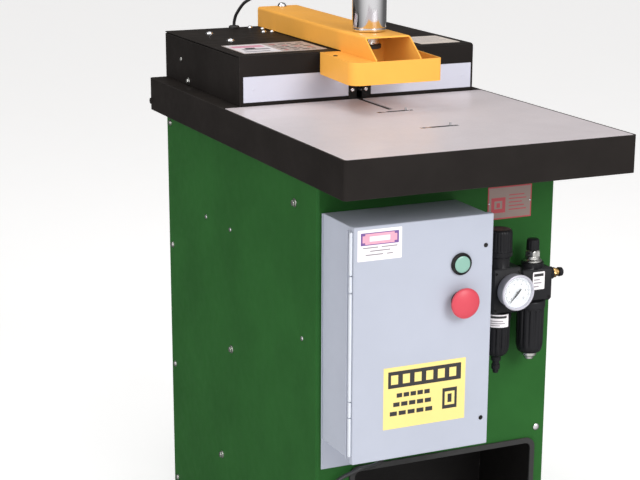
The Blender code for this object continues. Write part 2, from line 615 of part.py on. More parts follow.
# ---- air preparation unit ----------------------------------------------------------------------------
def make_air_unit():
    wall = CAB_Y[0] - GAP
    y = AIR_Y
    low, high = (REG_X - 0.0268, y - 0.025, 0.6531), (REG_X + 0.0384, y + 0.025, 0.7450)
    body = box("regulator_body", low, high, PLASTIC, 0.004)
    weld_box(body, (REG_X - 0.015, y + 0.020, 0.676), (REG_X + 0.015, wall, 0.724))
    weld_rod(body, (REG_X, y, 0.7440), UP, 0.0215, 0.0215, 20)
    knob = [(0, 0.0541), (0.0212, 0.0541), (0.0254, 0.0495), (0.0262, 0.0060), (0.0262, 0), (0, 0)]
    turned("regulator_knob", knob, (REG_X, y, 0.7661), UP, PLASTIC, 20)
    bowl = [
        (0, 0), (0.0245, 0), (0.0275, -0.0040), (0.0275, -0.0740), (0.0230, -0.0880), (0.0120, -0.0920),
        (0.0070, -0.0930), (0.0070, -0.1275), (0, -0.1275),
    ]
    turned("filter_bowl", bowl, (REG_X, y, 0.6528), UP, PLASTIC, 20)

    low, high = (REG_X + 0.0387, y - 0.023, 0.6690), (LUB_X + 0.0345, y + 0.023, 0.7360)
    lub = box("lubricator_body", low, high, PLASTIC, 0.004)
    weld_rod(lub, (LUB_X, y, 0.7350), UP, 0.0112, 0.0225, 20)
    weld_rod(lub, (LUB_X + 0.0330, y, 0.7180), RIGHT, 0.0125, 0.0125, 20)
    dome = [
        (0, 0.0466), (0.0112, 0.0462), (0.0128, 0.0430), (0.0128, 0.0288), (0.0190, 0.0288), (0.0190, 0.0200),
        (0.0150, 0.0185), (0.0150, 0.0060), (0.0190, 0.0040), (0.0190, 0), (0, 0),
    ]
    turned("lubricator_dome", dome, (LUB_X, y, 0.7465), UP, ZINC, 18)
    bowl = [
        (0, 0), (0.0275, 0), (0.0290, -0.0030), (0.0290, -0.0960), (0.0240, -0.1080), (0.0150, -0.1085),
        (0.0150, -0.1200), (0.0090, -0.1233), (0, -0.1233),
    ]
    turned("lubricator_bowl", bowl, (LUB_X, y, 0.6687), UP, PLASTIC, 20)

    face = Vector(DIAL_AT)
    depth = y - 0.025 - GAP - face.y
    case = [
        (0, -0.0034), (0.0318, -0.0034), (0.0318, 0), (0.0354, 0), (0.0360, -0.0028), (0.0348, -0.0058),
        (0.0332, -0.0068), (0.0332, 0.0040 - depth), (0.0300, -depth), (0, -depth),
    ]
    turned("pressure_gauge", case, face, FRONT, DIAL, 28)
    shape = [
        (-0.0014, 0.0096), (-0.0021, -0.0019), (-0.0004, -0.0260), (0.0004, -0.0260), (0.0021, -0.0019),
        (0.0014, 0.0096),
    ]
    needle = flat("gauge_needle", [shape], (0.0014, 0.0020), PLASTIC, "XZ")
    needle.location = face
    needle.rotation_euler = (0, math.radians(42), 0)


# ---- cutting head ------------------------------------------------------------------------------------
def make_head():
    base = TABLE_TOP + GAP * 2
    low, high = (WORK_X - 0.067, LIFT_Y - 0.033, base), (WORK_X + 0.067, LIFT_Y + 0.033, 1.0563)
    carriage = box("spindle_carriage", low, high, STEEL, 0.001)
    cut_rod(carriage, (WORK_X, LIFT_Y - 0.05, SPINDLE_Z), BACK, 0.10, SPINDLE_R + GAP, 24)
    for side in (-1, 1):
        cut_rod(carriage, (WORK_X + side * POST_X, LIFT_Y, TABLE_TOP - 0.02), UP, 0.10, 0.0074, 16)
    motor = [
        (0, 0.1344), (0.0060, 0.1344), (0.0060, 0.1250), (0.0118, 0.1230), (0.0118, 0.1085), (SPINDLE_R, 0.1040),
        (SPINDLE_R, -0.1010), (0.0146, -0.1056), (0, -0.1056),
    ]
    turned("spindle_motor", motor, (WORK_X, LIFT_Y, SPINDLE_Z), FRONT, STEEL, 24)
    bit = [
        (0, 0.0372), (0.0018, 0.0372), (0.0022, 0.0324), (0.0044, 0.0270), (0.0049, 0.0236), (0.0030, 0.0216),
        (0.0030, 0.0145), (0.0078, 0.0135), (0.0078, 0.0030), (0.0064, 0), (0, 0),
    ]
    turned("cutter", bit, (WORK_X, LIFT_Y - 0.1344 - GAP, SPINDLE_Z), FRONT, CARBIDE, 16)

    top = TABLE_TOP - SURFACE_T - GAP - DECK_T - GAP
    tube = [
        (0.0250, 0), (0.0250, -0.110), (0.0040, -0.110), (0.0040, -0.106), (0.0215, -0.106), (0.0215, -0.008),
        (0.0112, -0.008), (0.0112, 0),
    ]
    turned("lift_cylinder", tube, (WORK_X, LIFT_Y, top), UP, ALUMINIUM, 24)
    low, high = top - 0.0990, base - GAP
    shaft = [
        (0, high), (0.0060, high), (0.0060, low + 0.012), (0.0210, low + 0.012), (0.0210, low), (0, low),
    ]
    turned("lift_rod", shaft, (WORK_X, LIFT_Y, 0), UP, STEEL, 18)


def make_lead():
    """The lead from the enclosure's gland, down to its grommet in the cabinet front."""
    y = CAB_Y[0]
    grommet = [(0.0090, 0.0050), (0.0110, 0.0030), (0.0110, 0), (0.0045, 0), (0.0045, 0.0050)]
    turned("lead_grommet", grommet, (-0.2430, y - GAP, 0.2300), FRONT, RUBBER, 14)
    route = [
        (-0.1600, -0.4000, 0.4150), (-0.1600, -0.4000, 0.4040), (-0.1602, -0.3980, 0.3960), (-0.1625, -0.3890, 0.3830),
        (-0.1690, -0.3690, 0.3690),
        (-0.1800, -0.3470, 0.3570), (-0.1980, -0.3390, 0.3480), (-0.2180, -0.3370, 0.3400), (-0.2350, -0.3380, 0.3290),
        (-0.2450, -0.3420, 0.3110), (-0.2485, -0.3500, 0.2890), (-0.2480, -0.3570, 0.2660), (-0.2455, -0.3540, 0.2470),
        (-0.2435, -0.3455, 0.2355), (-0.2430, -0.3360, 0.2308), (-0.2430, y - GAP * 2, 0.2300),
    ]
    hose("pedal_lead", route, 0.0040, RUBBER)


for make in (
    make_cabinet, make_recess, make_table, make_stops, make_fence, make_housing, make_arm, make_guard,
    make_clamp, make_enclosure, make_air_unit, make_head, make_lead,
):
    make()
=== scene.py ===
"""The looks of a pneumatic corner rounder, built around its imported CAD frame. Metres, +Z up."""

import math

import bmesh
import bpy
from mathutils import Matrix, Vector


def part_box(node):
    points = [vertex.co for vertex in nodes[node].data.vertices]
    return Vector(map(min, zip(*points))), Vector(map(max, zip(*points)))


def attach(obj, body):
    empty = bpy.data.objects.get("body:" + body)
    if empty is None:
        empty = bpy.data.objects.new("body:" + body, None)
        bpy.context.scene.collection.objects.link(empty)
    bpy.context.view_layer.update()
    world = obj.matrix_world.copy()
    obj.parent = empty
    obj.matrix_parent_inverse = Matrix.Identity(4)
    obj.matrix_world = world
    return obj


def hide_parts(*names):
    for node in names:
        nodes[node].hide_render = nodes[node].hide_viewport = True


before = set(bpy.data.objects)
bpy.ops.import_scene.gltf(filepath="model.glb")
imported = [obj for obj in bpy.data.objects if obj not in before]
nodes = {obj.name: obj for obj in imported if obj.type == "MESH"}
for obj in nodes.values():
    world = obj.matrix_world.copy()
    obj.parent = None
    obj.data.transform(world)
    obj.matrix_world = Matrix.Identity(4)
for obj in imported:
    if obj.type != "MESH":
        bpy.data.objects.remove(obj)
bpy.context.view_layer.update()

UP = Vector((0, 0, 1))
FRONT, BACK = Vector((0, -1, 0)), Vector((0, 1, 0))
LEFT, RIGHT = Vector((-1, 0, 0)), Vector((1, 0, 0))
PLANES = {  # plane name: (direction of u, direction of v, direction of the thickness)
    "XY": (RIGHT, BACK, UP),
    "XZ": (RIGHT, UP, BACK),
    "YZ": (BACK, UP, RIGHT),
}


def low(node):
    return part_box(node)[0]


def high(node):
    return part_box(node)[1]


def middle(node):
    a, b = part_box(node)
    return (a + b) / 2


# ---- materials ---------------------------------------------------------------------------------------
class Graph:
    """A material's node tree, with short ways to add to it."""

    def __init__(self, name):
        self.material = bpy.data.materials.new(name)
        self.material.use_nodes = True
        self.tree = self.material.node_tree
        self.shader = self.tree.nodes["Principled BSDF"]
        self.place = self.tree.nodes.new("ShaderNodeTexCoord").outputs["Object"]

    def add(self, kind, settings=None, **inputs):
        node = self.tree.nodes.new(kind)
        for key, value in (settings or {}).items():
            setattr(node, key, value)
        for key, value in inputs.items():
            if key[0] == "i" and key[1:].isdigit():
                socket = node.inputs[int(key[1:])]
            else:
                socket = node.inputs[key.replace("_", " ")]
            self.put(socket, value)
        return node

    def put(self, socket, value):
        if isinstance(value, bpy.types.NodeSocket):
            self.tree.links.new(value, socket)
        elif isinstance(value, tuple) and len(value) == 3 and socket.type == "RGBA":
            socket.default_value = (*value, 1.0)
        else:
            socket.default_value = value

    def math(self, operation, first, second=0.0, clamp=False):
        node = self.add("ShaderNodeMath", {"operation": operation, "use_clamp": clamp}, i0=first, i1=second)
        return node.outputs[0]

    def noise(self, scale, detail=2.0, stretch=None, roughness=0.5):
        place = self.place
        if stretch:
            place = self.add("ShaderNodeMapping", Vector=place, Scale=stretch).outputs[0]
        node = self.add("ShaderNodeTexNoise", Vector=place, Scale=scale, Detail=detail, Roughness=roughness)
        return node.outputs["Fac"]

    def spread(self, value, low_in, high_in, low_out=0.0, high_out=1.0):
        node = self.add("ShaderNodeMapRange", i0=value, i1=low_in, i2=high_in, i3=low_out, i4=high_out)
        return node.outputs[0]

    def mix(self, factor, first, second):
        node = self.add("ShaderNodeMix", {"data_type": "RGBA"}, i0=factor, i6=first, i7=second)
        return node.outputs[2]


def look(
    name, colour, rough, metal=0.0, tone=0.10, tone_scale=6.0, grain=0.0, grain_scale=700.0, vary=0.06,
    wear_and_highlight=None, edge=0.0012, dust=0.0, brushed=None, coat=0.0, flecks=None, soften=0.0006, specular=0.5,
    highlight_all_edges=False,
):
    """One finished surface: mottled tone, grain as bump, uneven gloss, edge wear and settled dust; an edge
    colour spread along every edge is a painted highlight.
    """
    g = Graph(name)
    dark = tuple(c * (1 - tone) for c in colour)
    light = tuple(min(1.0, c * (1 + tone)) for c in colour)
    base = g.mix(g.spread(g.noise(tone_scale, 4.0, roughness=0.6), 0.3, 0.7), dark, light)
    gloss = g.spread(g.noise(tone_scale * 7, 3.0), 0.25, 0.75, rough - vary, rough + vary)
    metallic = metal
    if flecks:
        fleck_colour, fleck_scale, amount = flecks
        cells = g.noise(fleck_scale, 1.0)
        base = g.mix(g.spread(cells, 0.62, 0.70, 0.0, amount), base, fleck_colour)
        base = g.mix(
            g.spread(cells, 0.38, 0.30, 0.0, amount * 0.7), base, tuple(min(1, c * 1.18) for c in colour)
        )
    normal = None
    if soften:
        bevel = g.add("ShaderNodeBevel", {"samples": 4}, Radius=soften)
        normal = bevel.outputs[0]
    # Edge colour: rubbed-through paint where it comes in sparse patches; spread along every edge it is a
    # painted highlight on the bends and rims.
    if wear_and_highlight:
        wide = g.add("ShaderNodeBevel", {"samples": 4}, Radius=edge)
        true = g.add("ShaderNodeNewGeometry").outputs["True Normal"]
        turn = g.add("ShaderNodeVectorMath", {"operation": "DOT_PRODUCT"}, i0=wide.outputs[0], i1=true)
        wear_highlight_mask = g.spread(turn.outputs["Value"], 0.985, 0.86)
        patch = g.spread(g.noise(45.0, 5.0, roughness=0.7), 0.20 if highlight_all_edges else 0.50, 0.66)
        wear_highlight_mask = g.math("MULTIPLY", wear_highlight_mask, patch)
        base = g.mix(g.math("MULTIPLY", wear_highlight_mask, 0.75), base, wear_and_highlight)
    if dust:
        facing = g.add(
            "ShaderNodeSeparateXYZ", Vector=g.add("ShaderNodeNewGeometry").outputs["Normal"]
        ).outputs[2]
        lying = g.math(
            "MULTIPLY", g.spread(facing, 0.55, 0.95),
            g.spread(g.noise(11.0, 6.0, roughness=0.7), 0.35, 0.75, 0.25, 1.0)
        )
        lying = g.math("MULTIPLY", lying, dust)
        base = g.mix(lying, base, (0.36, 0.30, 0.24))
        gloss = g.math("ADD", gloss, g.math("MULTIPLY", lying, 0.35), clamp=True)
    bumps = None
    if grain:
        bumps = g.math("MULTIPLY", g.noise(grain_scale, 2.0), grain)
    if brushed:
        lines = g.noise(1.0, 2.0, stretch=brushed)
        gloss = g.math("ADD", gloss, g.spread(lines, 0.3, 0.7, -0.07, 0.07), clamp=True)
        drawn = g.math("MULTIPLY", lines, 0.00003)
        bumps = g.math("ADD", bumps, drawn) if bumps else drawn
    if bumps:
        bump = g.add("ShaderNodeBump", Height=bumps, Strength=1.0, Distance=1.0)
        if normal:
            g.put(bump.inputs["Normal"], normal)
        normal = bump.outputs[0]
    g.put(g.shader.inputs["Base Color"], base)
    g.put(g.shader.inputs["Roughness"], gloss)
    g.put(g.shader.inputs["Metallic"], metallic)
    g.put(g.shader.inputs["Coat Weight"], coat)
    g.put(g.shader.inputs["Specular IOR Level"], specular)
    if normal:
        g.put(g.shader.inputs["Normal"], normal)
    return g.material


STEEL_EDGE = (0.30, 0.29, 0.27)
# Green enamel: its lighter green edge colour runs along every edge as a painted highlight on the folded
# corners.
GREEN = look(
    "green_enamel", (0.020, 0.094, 0.020), 0.42, grain=0.00004, grain_scale=900, wear_and_highlight=(0.07, 0.26, 0.13),
    dust=0.04, specular=0.06, highlight_all_edges=True
)
# Black powder coat: its pale edge colour runs along every edge as a painted highlight on the top edges and
# panel edges.
BLACK = look(
    "black_powder_coat", (0.0165, 0.0140, 0.0130), 0.50, tone=0.18, grain=0.00007, grain_scale=1400,
    wear_and_highlight=(0.085, 0.080, 0.078), dust=0.03, specular=0.05, highlight_all_edges=True
)
BLACK_SATIN = look(
    "black_satin_paint", (0.012, 0.011, 0.011), 0.40, tone=0.18, grain=0.00003, grain_scale=1100,
    wear_and_highlight=STEEL_EDGE, specular=0.12
)
YELLOW = look(
    "yellow_enamel", (0.93, 0.445, 0.080), 0.38, tone=0.05, grain=0.00004, grain_scale=700,
    wear_and_highlight=(0.62, 0.36, 0.12), specular=0.10
)
PALE = look(
    "pale_grey_enamel", (0.395, 0.420, 0.495), 0.42, tone=0.03, grain=0.00005, grain_scale=900,
    wear_and_highlight=(0.42, 0.43, 0.46), dust=0.05, specular=0.3
)
LAMINATE = look(
    "grey_laminate", (0.640, 0.590, 0.612), 0.38, tone=0.045, tone_scale=4.0, grain=0.00003, grain_scale=1500,
    flecks=((0.50, 0.45, 0.45), 420.0, 0.35), soften=0.0004,
)
ALUMINIUM = look(
    "anodised_aluminium", (0.58, 0.59, 0.685), 0.46, metal=0.18, tone=0.03, brushed=(9.0, 9.0, 900.0),
    soften=0.0004
)
STAINLESS = look(
    "polished_stainless", (0.78, 0.76, 0.77), 0.13, metal=1.0, tone=0.03, vary=0.03,
    brushed=(14.0, 14.0, 700.0), soften=0
)
ZINC = look("zinc_plate", (0.60, 0.60, 0.58), 0.27, metal=1.0, tone=0.10, tone_scale=60.0, grain=0.00003)
STEEL = look(
    "machined_steel", (0.36, 0.36, 0.37), 0.34, metal=1.0, tone=0.12, brushed=(900.0, 40.0, 40.0),
    tone_scale=20.0
)
CARBIDE = look("dark_carbide", (0.10, 0.10, 0.11), 0.36, metal=0.8, grain=0.00003)
RUBBER = look(
    "black_rubber", (0.020, 0.020, 0.020), 0.62, tone=0.2, grain=0.00006, grain_scale=900, dust=0.15, soften=0
)
LEAD = look("black_lead_sheath", (0.028, 0.028, 0.030), 0.36, tone=0.2, grain=0.00002, soften=0)
PLASTIC = look(
    "black_plastic", (0.014, 0.014, 0.016), 0.33, tone=0.15, grain=0.00004, grain_scale=1300, specular=0.16
)
RED = look("red_plastic", (0.55, 0.048, 0.074), 0.42, tone=0.04, grain=0.00002)
LENS = look("green_lens", (0.205, 0.385, 0.318), 0.24, tone=0.05, coat=0.3)
BRASS = look("brass", (0.62, 0.40, 0.16), 0.28, metal=1.0, tone=0.12, tone_scale=50.0)
CHROME = look("chrome", (0.74, 0.74, 0.76), 0.10, metal=1.0, tone=0.02, vary=0.03)
BEZEL = look(
    "satin_bezel", (0.56, 0.55, 0.62), 0.40, metal=0.35, tone=0.03, brushed=(700.0, 14.0, 700.0),
    soften=0.0004
)


def printed(name, colour, rough=0.42, tone=0.04):
    """A flat finish for ink, paper and thin painted parts."""
    return look(name, colour, rough, tone=tone, soften=0)


DIAL = printed("dial_white", (0.80, 0.83, 0.86), 0.45, 0.02)
INK = printed("ink_black", (0.025, 0.024, 0.026), 0.5, 0.1)
INK_GREY = printed("ink_grey", (0.30, 0.28, 0.30), 0.5, 0.2)
INK_RED = printed("ink_red", (0.42, 0.045, 0.060), 0.45, 0.15)
INK_PURPLE = printed("ink_purple", (0.16, 0.08, 0.28), 0.45, 0.15)
PAPER = printed("label_white", (0.82, 0.78, 0.80))
HINGE = look("hinge_grey", (0.60, 0.63, 0.69), 0.34, tone=0.03, grain=0.00003, grain_scale=900, soften=0)
PAPER_PINK = printed("label_pink", (0.72, 0.34, 0.44), tone=0.05)
PAPER_TAN = printed("label_tan", (0.45, 0.38, 0.36), tone=0.12)
PAPER_YELLOW = printed("label_yellow", (0.80, 0.64, 0.22))
PAPER_CREAM = printed("label_cream", (0.74, 0.66, 0.59), tone=0.05)
PLATE_GREY = look("plate_grey", (0.27, 0.20, 0.18), 0.34, metal=0.4, tone=0.12, soften=0)
COPPER = printed("wire_red", (0.35, 0.03, 0.02), 0.4, 0.10)
WIRE_BLUE = printed("wire_blue", (0.03, 0.05, 0.30), 0.4, 0.10)


def glass(name, colour, rough=0.04):
    g = Graph(name)
    g.put(g.shader.inputs["Base Color"], colour)
    g.put(g.shader.inputs["Roughness"], g.spread(g.noise(30.0), 0.3, 0.7, rough, rough + 0.05))
    g.put(g.shader.inputs["Alpha"], 0.10)
    return g.material


GLASS = glass("gauge_window", (0.9, 0.93, 0.95))

NODE_LOOKS = {
    GREEN: ["cabinet_base", "cabinet_rear", "cabinet_wrap"],
    BLACK: [
        "base_rail_left", "base_rail_right", "table_tray", "rear_deck", "fence_backer", "housing_lid",
        "housing_side_left", "housing_rear", "pedal_base",
    ],
    BLACK_SATIN: ["recess_liner", "notch_block_left", "notch_block_right"],
    YELLOW: ["arm_channel", "guard_band"],
    PALE: ["enclosure_mount_plate", "enclosure_box", "enclosure_door"],
    LAMINATE: ["table_laminate"],
    ALUMINIUM: ["fence_strip_left", "fence_strip_right", "lift_cylinder"],
    STAINLESS: ["clamp_cylinder", "cylinder_cap"],
    ZINC: ["stop_plate_front", "stop_plate_rear", "nose_nut", "arm_dome_nut", "lubricator_dome"],
    STEEL: [
        "stop_finger_front", "stop_finger_rear", "arm_pedestal", "clamp_rod", "spindle_carriage",
        "spindle_motor",
        "lift_rod",
    ],
    CARBIDE: ["cutter"],
    RUBBER: ["recess_trim", "clamp_pad", "hose_grommet", "lead_grommet", "air_hose", "pedal_treadle"],
    LEAD: ["pedal_lead"],
    PLASTIC: [
        "cylinder_elbow", "start_bezel", "stop_bezel", "motor_contactor", "lead_gland", "regulator_body",
        "regulator_knob", "filter_bowl", "lubricator_body", "lubricator_bowl", "gauge_needle",
    ],
    RED: ["stop_mushroom"],
    LENS: ["start_button"],
    DIAL: ["pressure_gauge"],
}
for finish, names in NODE_LOOKS.items():
    for node_name in names:
        mesh = nodes[node_name].data
        mesh.materials.clear()
        mesh.materials.append(finish)


# ---- shape helpers -----------------------------------------------------------------------------------
def piece(name, mesh, finishes, body, replaces=(), sharp=35, slot=None):
    """Puts a mesh in the scene as a piece that rides on a body."""
    if not isinstance(finishes, (list, tuple)):
        finishes = [finishes]
    if mesh.materials:
        mesh.materials.clear()
    for finish in finishes:
        mesh.materials.append(finish)
    if sharp:
        mesh.shade_smooth()
        mesh.set_sharp_from_angle(angle=math.radians(sharp))
    thing = bpy.data.objects.new(name, mesh)
    bpy.context.scene.collection.objects.link(thing)
    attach(thing, body)
    if replaces:
        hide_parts(*replaces)
    return thing


def to_mesh(bm, name):
    bmesh.ops.recalc_face_normals(bm, faces=bm.faces)
    mesh = bpy.data.meshes.new(name)
    bm.to_mesh(mesh)
    bm.free()
    return mesh


def add_block(bm, low_at, high_at, edge=0.0, steps=2, index=0):
    """Adds a block with rounded edges to a bmesh."""
    low_at, high_at = Vector(low_at), Vector(high_at)
    made = bmesh.ops.create_cube(bm, size=1.0)
    verts = made["verts"]
    bmesh.ops.scale(bm, vec=high_at - low_at, verts=verts)
    bmesh.ops.translate(bm, vec=(low_at + high_at) / 2, verts=verts)
    faces = set()
    if edge:
        edges = list({e for v in verts for e in v.link_edges})
        out = bmesh.ops.bevel(bm, geom=edges, offset=edge, segments=steps, profile=0.5, affect="EDGES")
        faces.update(out["faces"])
        for v in out["verts"]:
            faces.update(v.link_faces)
    else:
        for v in verts:
            faces.update(v.link_faces)
    for face in faces:
        face.material_index = index


def block(name, low_at, high_at, finish, body, edge=0.0006, steps=2, **extra):
    bm = bmesh.new()
    add_block(bm, low_at, high_at, edge, steps)
    return piece(name, to_mesh(bm, name), finish, body, **extra)


def add_rings(bm, rings, at, axis, sides=48, closed=False, index=0, spin=0.0):
    """Adds a turned shape: rings are (radius, height) or (radius, height, "hex") along axis."""
    axis = Vector(axis).normalized()
    turn = axis.to_track_quat("Z", "Y").to_matrix().to_4x4()
    frame_at = Matrix.Translation(Vector(at)) @ turn
    loops = []
    for ring in rings:
        radius, height = ring[0], ring[1]
        if radius <= 0:
            loops.append([bm.verts.new(frame_at @ Vector((0, 0, height)))])
            continue
        loop = []
        for k in range(sides):
            angle = 2 * math.pi * k / sides + spin
            reach = radius
            if len(ring) > 2:
                part = (2 * math.pi * k / sides) % (math.pi / 3) - math.pi / 6
                reach = radius * math.cos(math.pi / 6) / math.cos(part)
            loop.append(bm.verts.new(frame_at @ Vector((
                reach * math.cos(angle), reach * math.sin(angle), height
            ))))
        loops.append(loop)
    pairs = list(zip(loops, loops[1:]))
    if closed:
        pairs.append((loops[-1], loops[0]))
    for one, two in pairs:
        for k in range(sides):
            n = (k + 1) % sides
            if len(one) == 1 and len(two) == 1:
                continue
            if len(one) == 1:
                face = bm.faces.new((one[0], two[n], two[k]))
            elif len(two) == 1:
                face = bm.faces.new((one[k], one[n], two[0]))
            else:
                face = bm.faces.new((one[k], one[n], two[n], two[k]))
            face.material_index = index
    return loops


def turned(name, rings, at, axis, finish, body, sides=48, closed=False, **extra):
    bm = bmesh.new()
    add_rings(bm, rings, at, axis, sides, closed)
    return piece(name, to_mesh(bm, name), finish, body, **extra)


def rounded(corners, radii, steps=10):
    """The outline through the corners, each rounded by its radius (0 keeps it sharp)."""
    points = []
    count = len(corners)
    for i, (corner, radius) in enumerate(zip(corners, radii)):
        corner = Vector(corner)
        before = (Vector(corners[i - 1]) - corner).normalized()
        after = (Vector(corners[(i + 1) % count]) - corner).normalized()
        if radius <= 0:
            points.append(corner)
            continue
        half = before.angle(after) / 2
        centre = corner + (before + after).normalized() * radius / math.sin(half)
        start = corner + before * radius / math.tan(half) - centre
        end = corner + after * radius / math.tan(half) - centre
        sweep = start.angle_signed(end)
        for k in range(steps + 1):
            points.append(centre + Matrix.Rotation(-sweep * k / steps, 2) @ start)
    return [(p.x, p.y) for p in points]


def rectangle(u, v, radius=0.0, steps=8):
    corners = [(u[0], v[0]), (u[1], v[0]), (u[1], v[1]), (u[0], v[1])]
    return rounded(corners, [radius] * 4, steps)


def flat_mesh(name, outlines, span, plane="XY", edge=0.0):
    """A flat solid: the first outline filled, the rest cut out, between two heights, edges rounded."""
    curve = bpy.data.curves.new(name, "CURVE")
    curve.dimensions = "2D"
    curve.fill_mode = "BOTH"
    curve.extrude = (span[1] - span[0]) / 2 - edge
    curve.bevel_depth = edge
    curve.offset = -edge
    curve.bevel_resolution = 2
    for outline in outlines:
        spline = curve.splines.new("POLY")
        spline.points.add(len(outline) - 1)
        for point, (u, v) in zip(spline.points, outline):
            point.co = (u, v, 0.0, 1.0)
        spline.use_cyclic_u = True
    drawn = bpy.data.objects.new(name + "_drawing", curve)
    bpy.context.scene.collection.objects.link(drawn)
    bpy.context.view_layer.update()
    graph = bpy.context.evaluated_depsgraph_get()
    mesh = bpy.data.meshes.new_from_object(drawn.evaluated_get(graph))
    bpy.data.objects.remove(drawn, do_unlink=True)
    bpy.data.curves.remove(curve)
    bm = bmesh.new()
    bm.from_mesh(mesh)
    bmesh.ops.remove_doubles(bm, verts=bm.verts, dist=0.000005)
    u, v, w = PLANES[plane]
    frame_at = Matrix((u, v, w)).transposed().to_4x4()
    shift = Matrix.Translation(w * (span[0] + span[1]) / 2)
    bmesh.ops.transform(bm, matrix=shift @ frame_at, verts=bm.verts)
    bmesh.ops.recalc_face_normals(bm, faces=bm.faces)
    bm.to_mesh(mesh)
    bm.free()
    return mesh


MERGE = 0.00002  # corners closer than this are one corner
FLAT = math.radians(0.6)  # faces that meet at less than this are one face


def carve(mesh, cutter):
    """The mesh with another mesh cut out of it."""
    thing = bpy.data.objects.new("carved", mesh)
    tool = bpy.data.objects.new("tool", cutter)
    for made in (thing, tool):
        bpy.context.scene.collection.objects.link(made)
    modifier = thing.modifiers.new("cut", "BOOLEAN")
    modifier.operation = "DIFFERENCE"
    modifier.solver = "EXACT"
    modifier.object = tool
    bpy.context.view_layer.update()
    graph = bpy.context.evaluated_depsgraph_get()
    result = bpy.data.meshes.new_from_object(thing.evaluated_get(graph))
    for made in (thing, tool):
        bpy.data.objects.remove(made, do_unlink=True)
    return result


def smooth_line(route, per_step):
    """The points of a smooth curve through a route's points."""
    points = [Vector(p) for p in route]
    ends = [points[0] * 2 - points[1]] + points + [points[-1] * 2 - points[-2]]
    line = []
    for a, b, c, d in zip(ends, ends[1:], ends[2:], ends[3:]):
        for k in range(per_step):
            t = k / per_step
            line.append(
                0.5 * (2 * b + (c - a) * t + (2 * a - 5 * b + 4 * c - d) * t**2
                       + (3 * b - a - 3 * c + d) * t**3)
            )
    line.append(points[-1])
    return line


def tube(name, route, radius, finish, body, per_step=8, sides=16, replaces=(), slot=None):
    """A bent round tube: a smooth curve through the route's points, as a capped mesh."""
    line = smooth_line(route, per_step)
    return swept(name, line, [radius] * len(line), finish, body, sides, replaces, slot)


def swept(name, line, radii, finish, body, sides=16, replaces=(), slot=None):
    """A round mesh along a line of points, with its own radius at each."""
    bm = bmesh.new()
    side = (line[1] - line[0]).orthogonal().normalized()
    loops = []
    for i, here in enumerate(line):
        ahead = (line[min(i + 1, len(line) - 1)] - line[max(i - 1, 0)]).normalized()
        side = (side - ahead * side.dot(ahead)).normalized()
        other = ahead.cross(side)
        loop = []
        for k in range(sides):
            angle = 2 * math.pi * k / sides
            loop.append(bm.verts.new(here + (side * math.cos(angle) + other * math.sin(angle)) * radii[i]))
        loops.append(loop)
    for one, two in zip(loops, loops[1:]):
        for k in range(sides):
            n = (k + 1) % sides
            bm.faces.new((one[k], one[n], two[n], two[k]))
    bm.faces.new(loops[0][::-1])
    bm.faces.new(loops[-1])
    return piece(name, to_mesh(bm, name), finish, body, replaces=replaces, slot=slot)


def fastener(name, at, axis, radius, head, finish=None, body="machine", drive="hex", washer=0.0, spin=0.3):
    """A screw head on a surface: drive is "bolt", "hex", "cross" or "dome"; washer is its radius."""
    finish = finish or ZINC
    bm = bmesh.new()
    base = 0.0
    if washer:
        base = 0.0012
        rings = [(0, 0), (washer, 0), (washer, base * 0.75), (washer * 0.96, base), (0, base)]
        add_rings(bm, rings, at, axis, 36)
    if drive == "bolt":
        rings = [
            (0, base), (radius * 0.98, base), (radius, base + head * 0.08, "hex"),
            (radius, base + head * 0.80, "hex"),
            (radius * 0.93, base + head * 0.92, "hex"), (radius * 0.80, base + head),
            (radius * 0.5, base + head * 0.985),
            (0, base + head * 0.97),
        ]
        add_rings(bm, rings, at, axis, 36, spin=spin)
    elif drive == "hex":
        rings = [
            (0, base), (radius, base), (radius, base + head * 0.25), (radius * 0.93, base + head * 0.62),
            (radius * 0.72, base + head * 0.90), (radius * 0.52, base + head),
            (radius * 0.42, base + head, "hex"),
            (radius * 0.40, base + head * 0.35, "hex"), (0, base + head * 0.30),
        ]
        add_rings(bm, rings, at, axis, 36, spin=spin)
    else:
        rings = [
            (0, base), (radius, base), (radius, base + head * 0.18), (radius * 0.92, base + head * 0.55),
            (radius * 0.70, base + head * 0.85), (radius * 0.38, base + head * 0.98), (0, base + head),
        ]
        add_rings(bm, rings, at, axis, 36, spin=spin)
    mesh = to_mesh(bm, name)
    if drive == "cross":
        axis = Vector(axis).normalized()
        side = axis.orthogonal().normalized()
        other = axis.cross(side)
        for one, two in ((side, other), (other, side)):
            bm = bmesh.new()
            bmesh.ops.create_cube(bm, size=1.0)
            size = Matrix.Diagonal((radius * 1.15, radius * 0.24, head * 0.9, 1.0))
            turn = Matrix((one, two, axis)).transposed().to_4x4()
            spot = Matrix.Translation(Vector(at) + axis * (base + head))
            bmesh.ops.transform(bm, matrix=spot @ turn @ size, verts=bm.verts)
            mesh = carve(mesh, to_mesh(bm, "slot"))
    return piece(name, mesh, finish, body, sharp=30)


LAYER = 0.00006  # how far each printed layer stands above the one under it


def layers(marks):
    """For each mark, one more than the highest layer of the earlier marks that it lies on."""
    found = []
    for i, mark in enumerate(marks):
        under = [
            found[j] for j, other in enumerate(marks[:i])
            if mark[0] < other[2] and other[0] < mark[2] and mark[1] < other[3] and other[1] < mark[3]
        ]
        found.append(max(under, default=0) + 1)
    return found


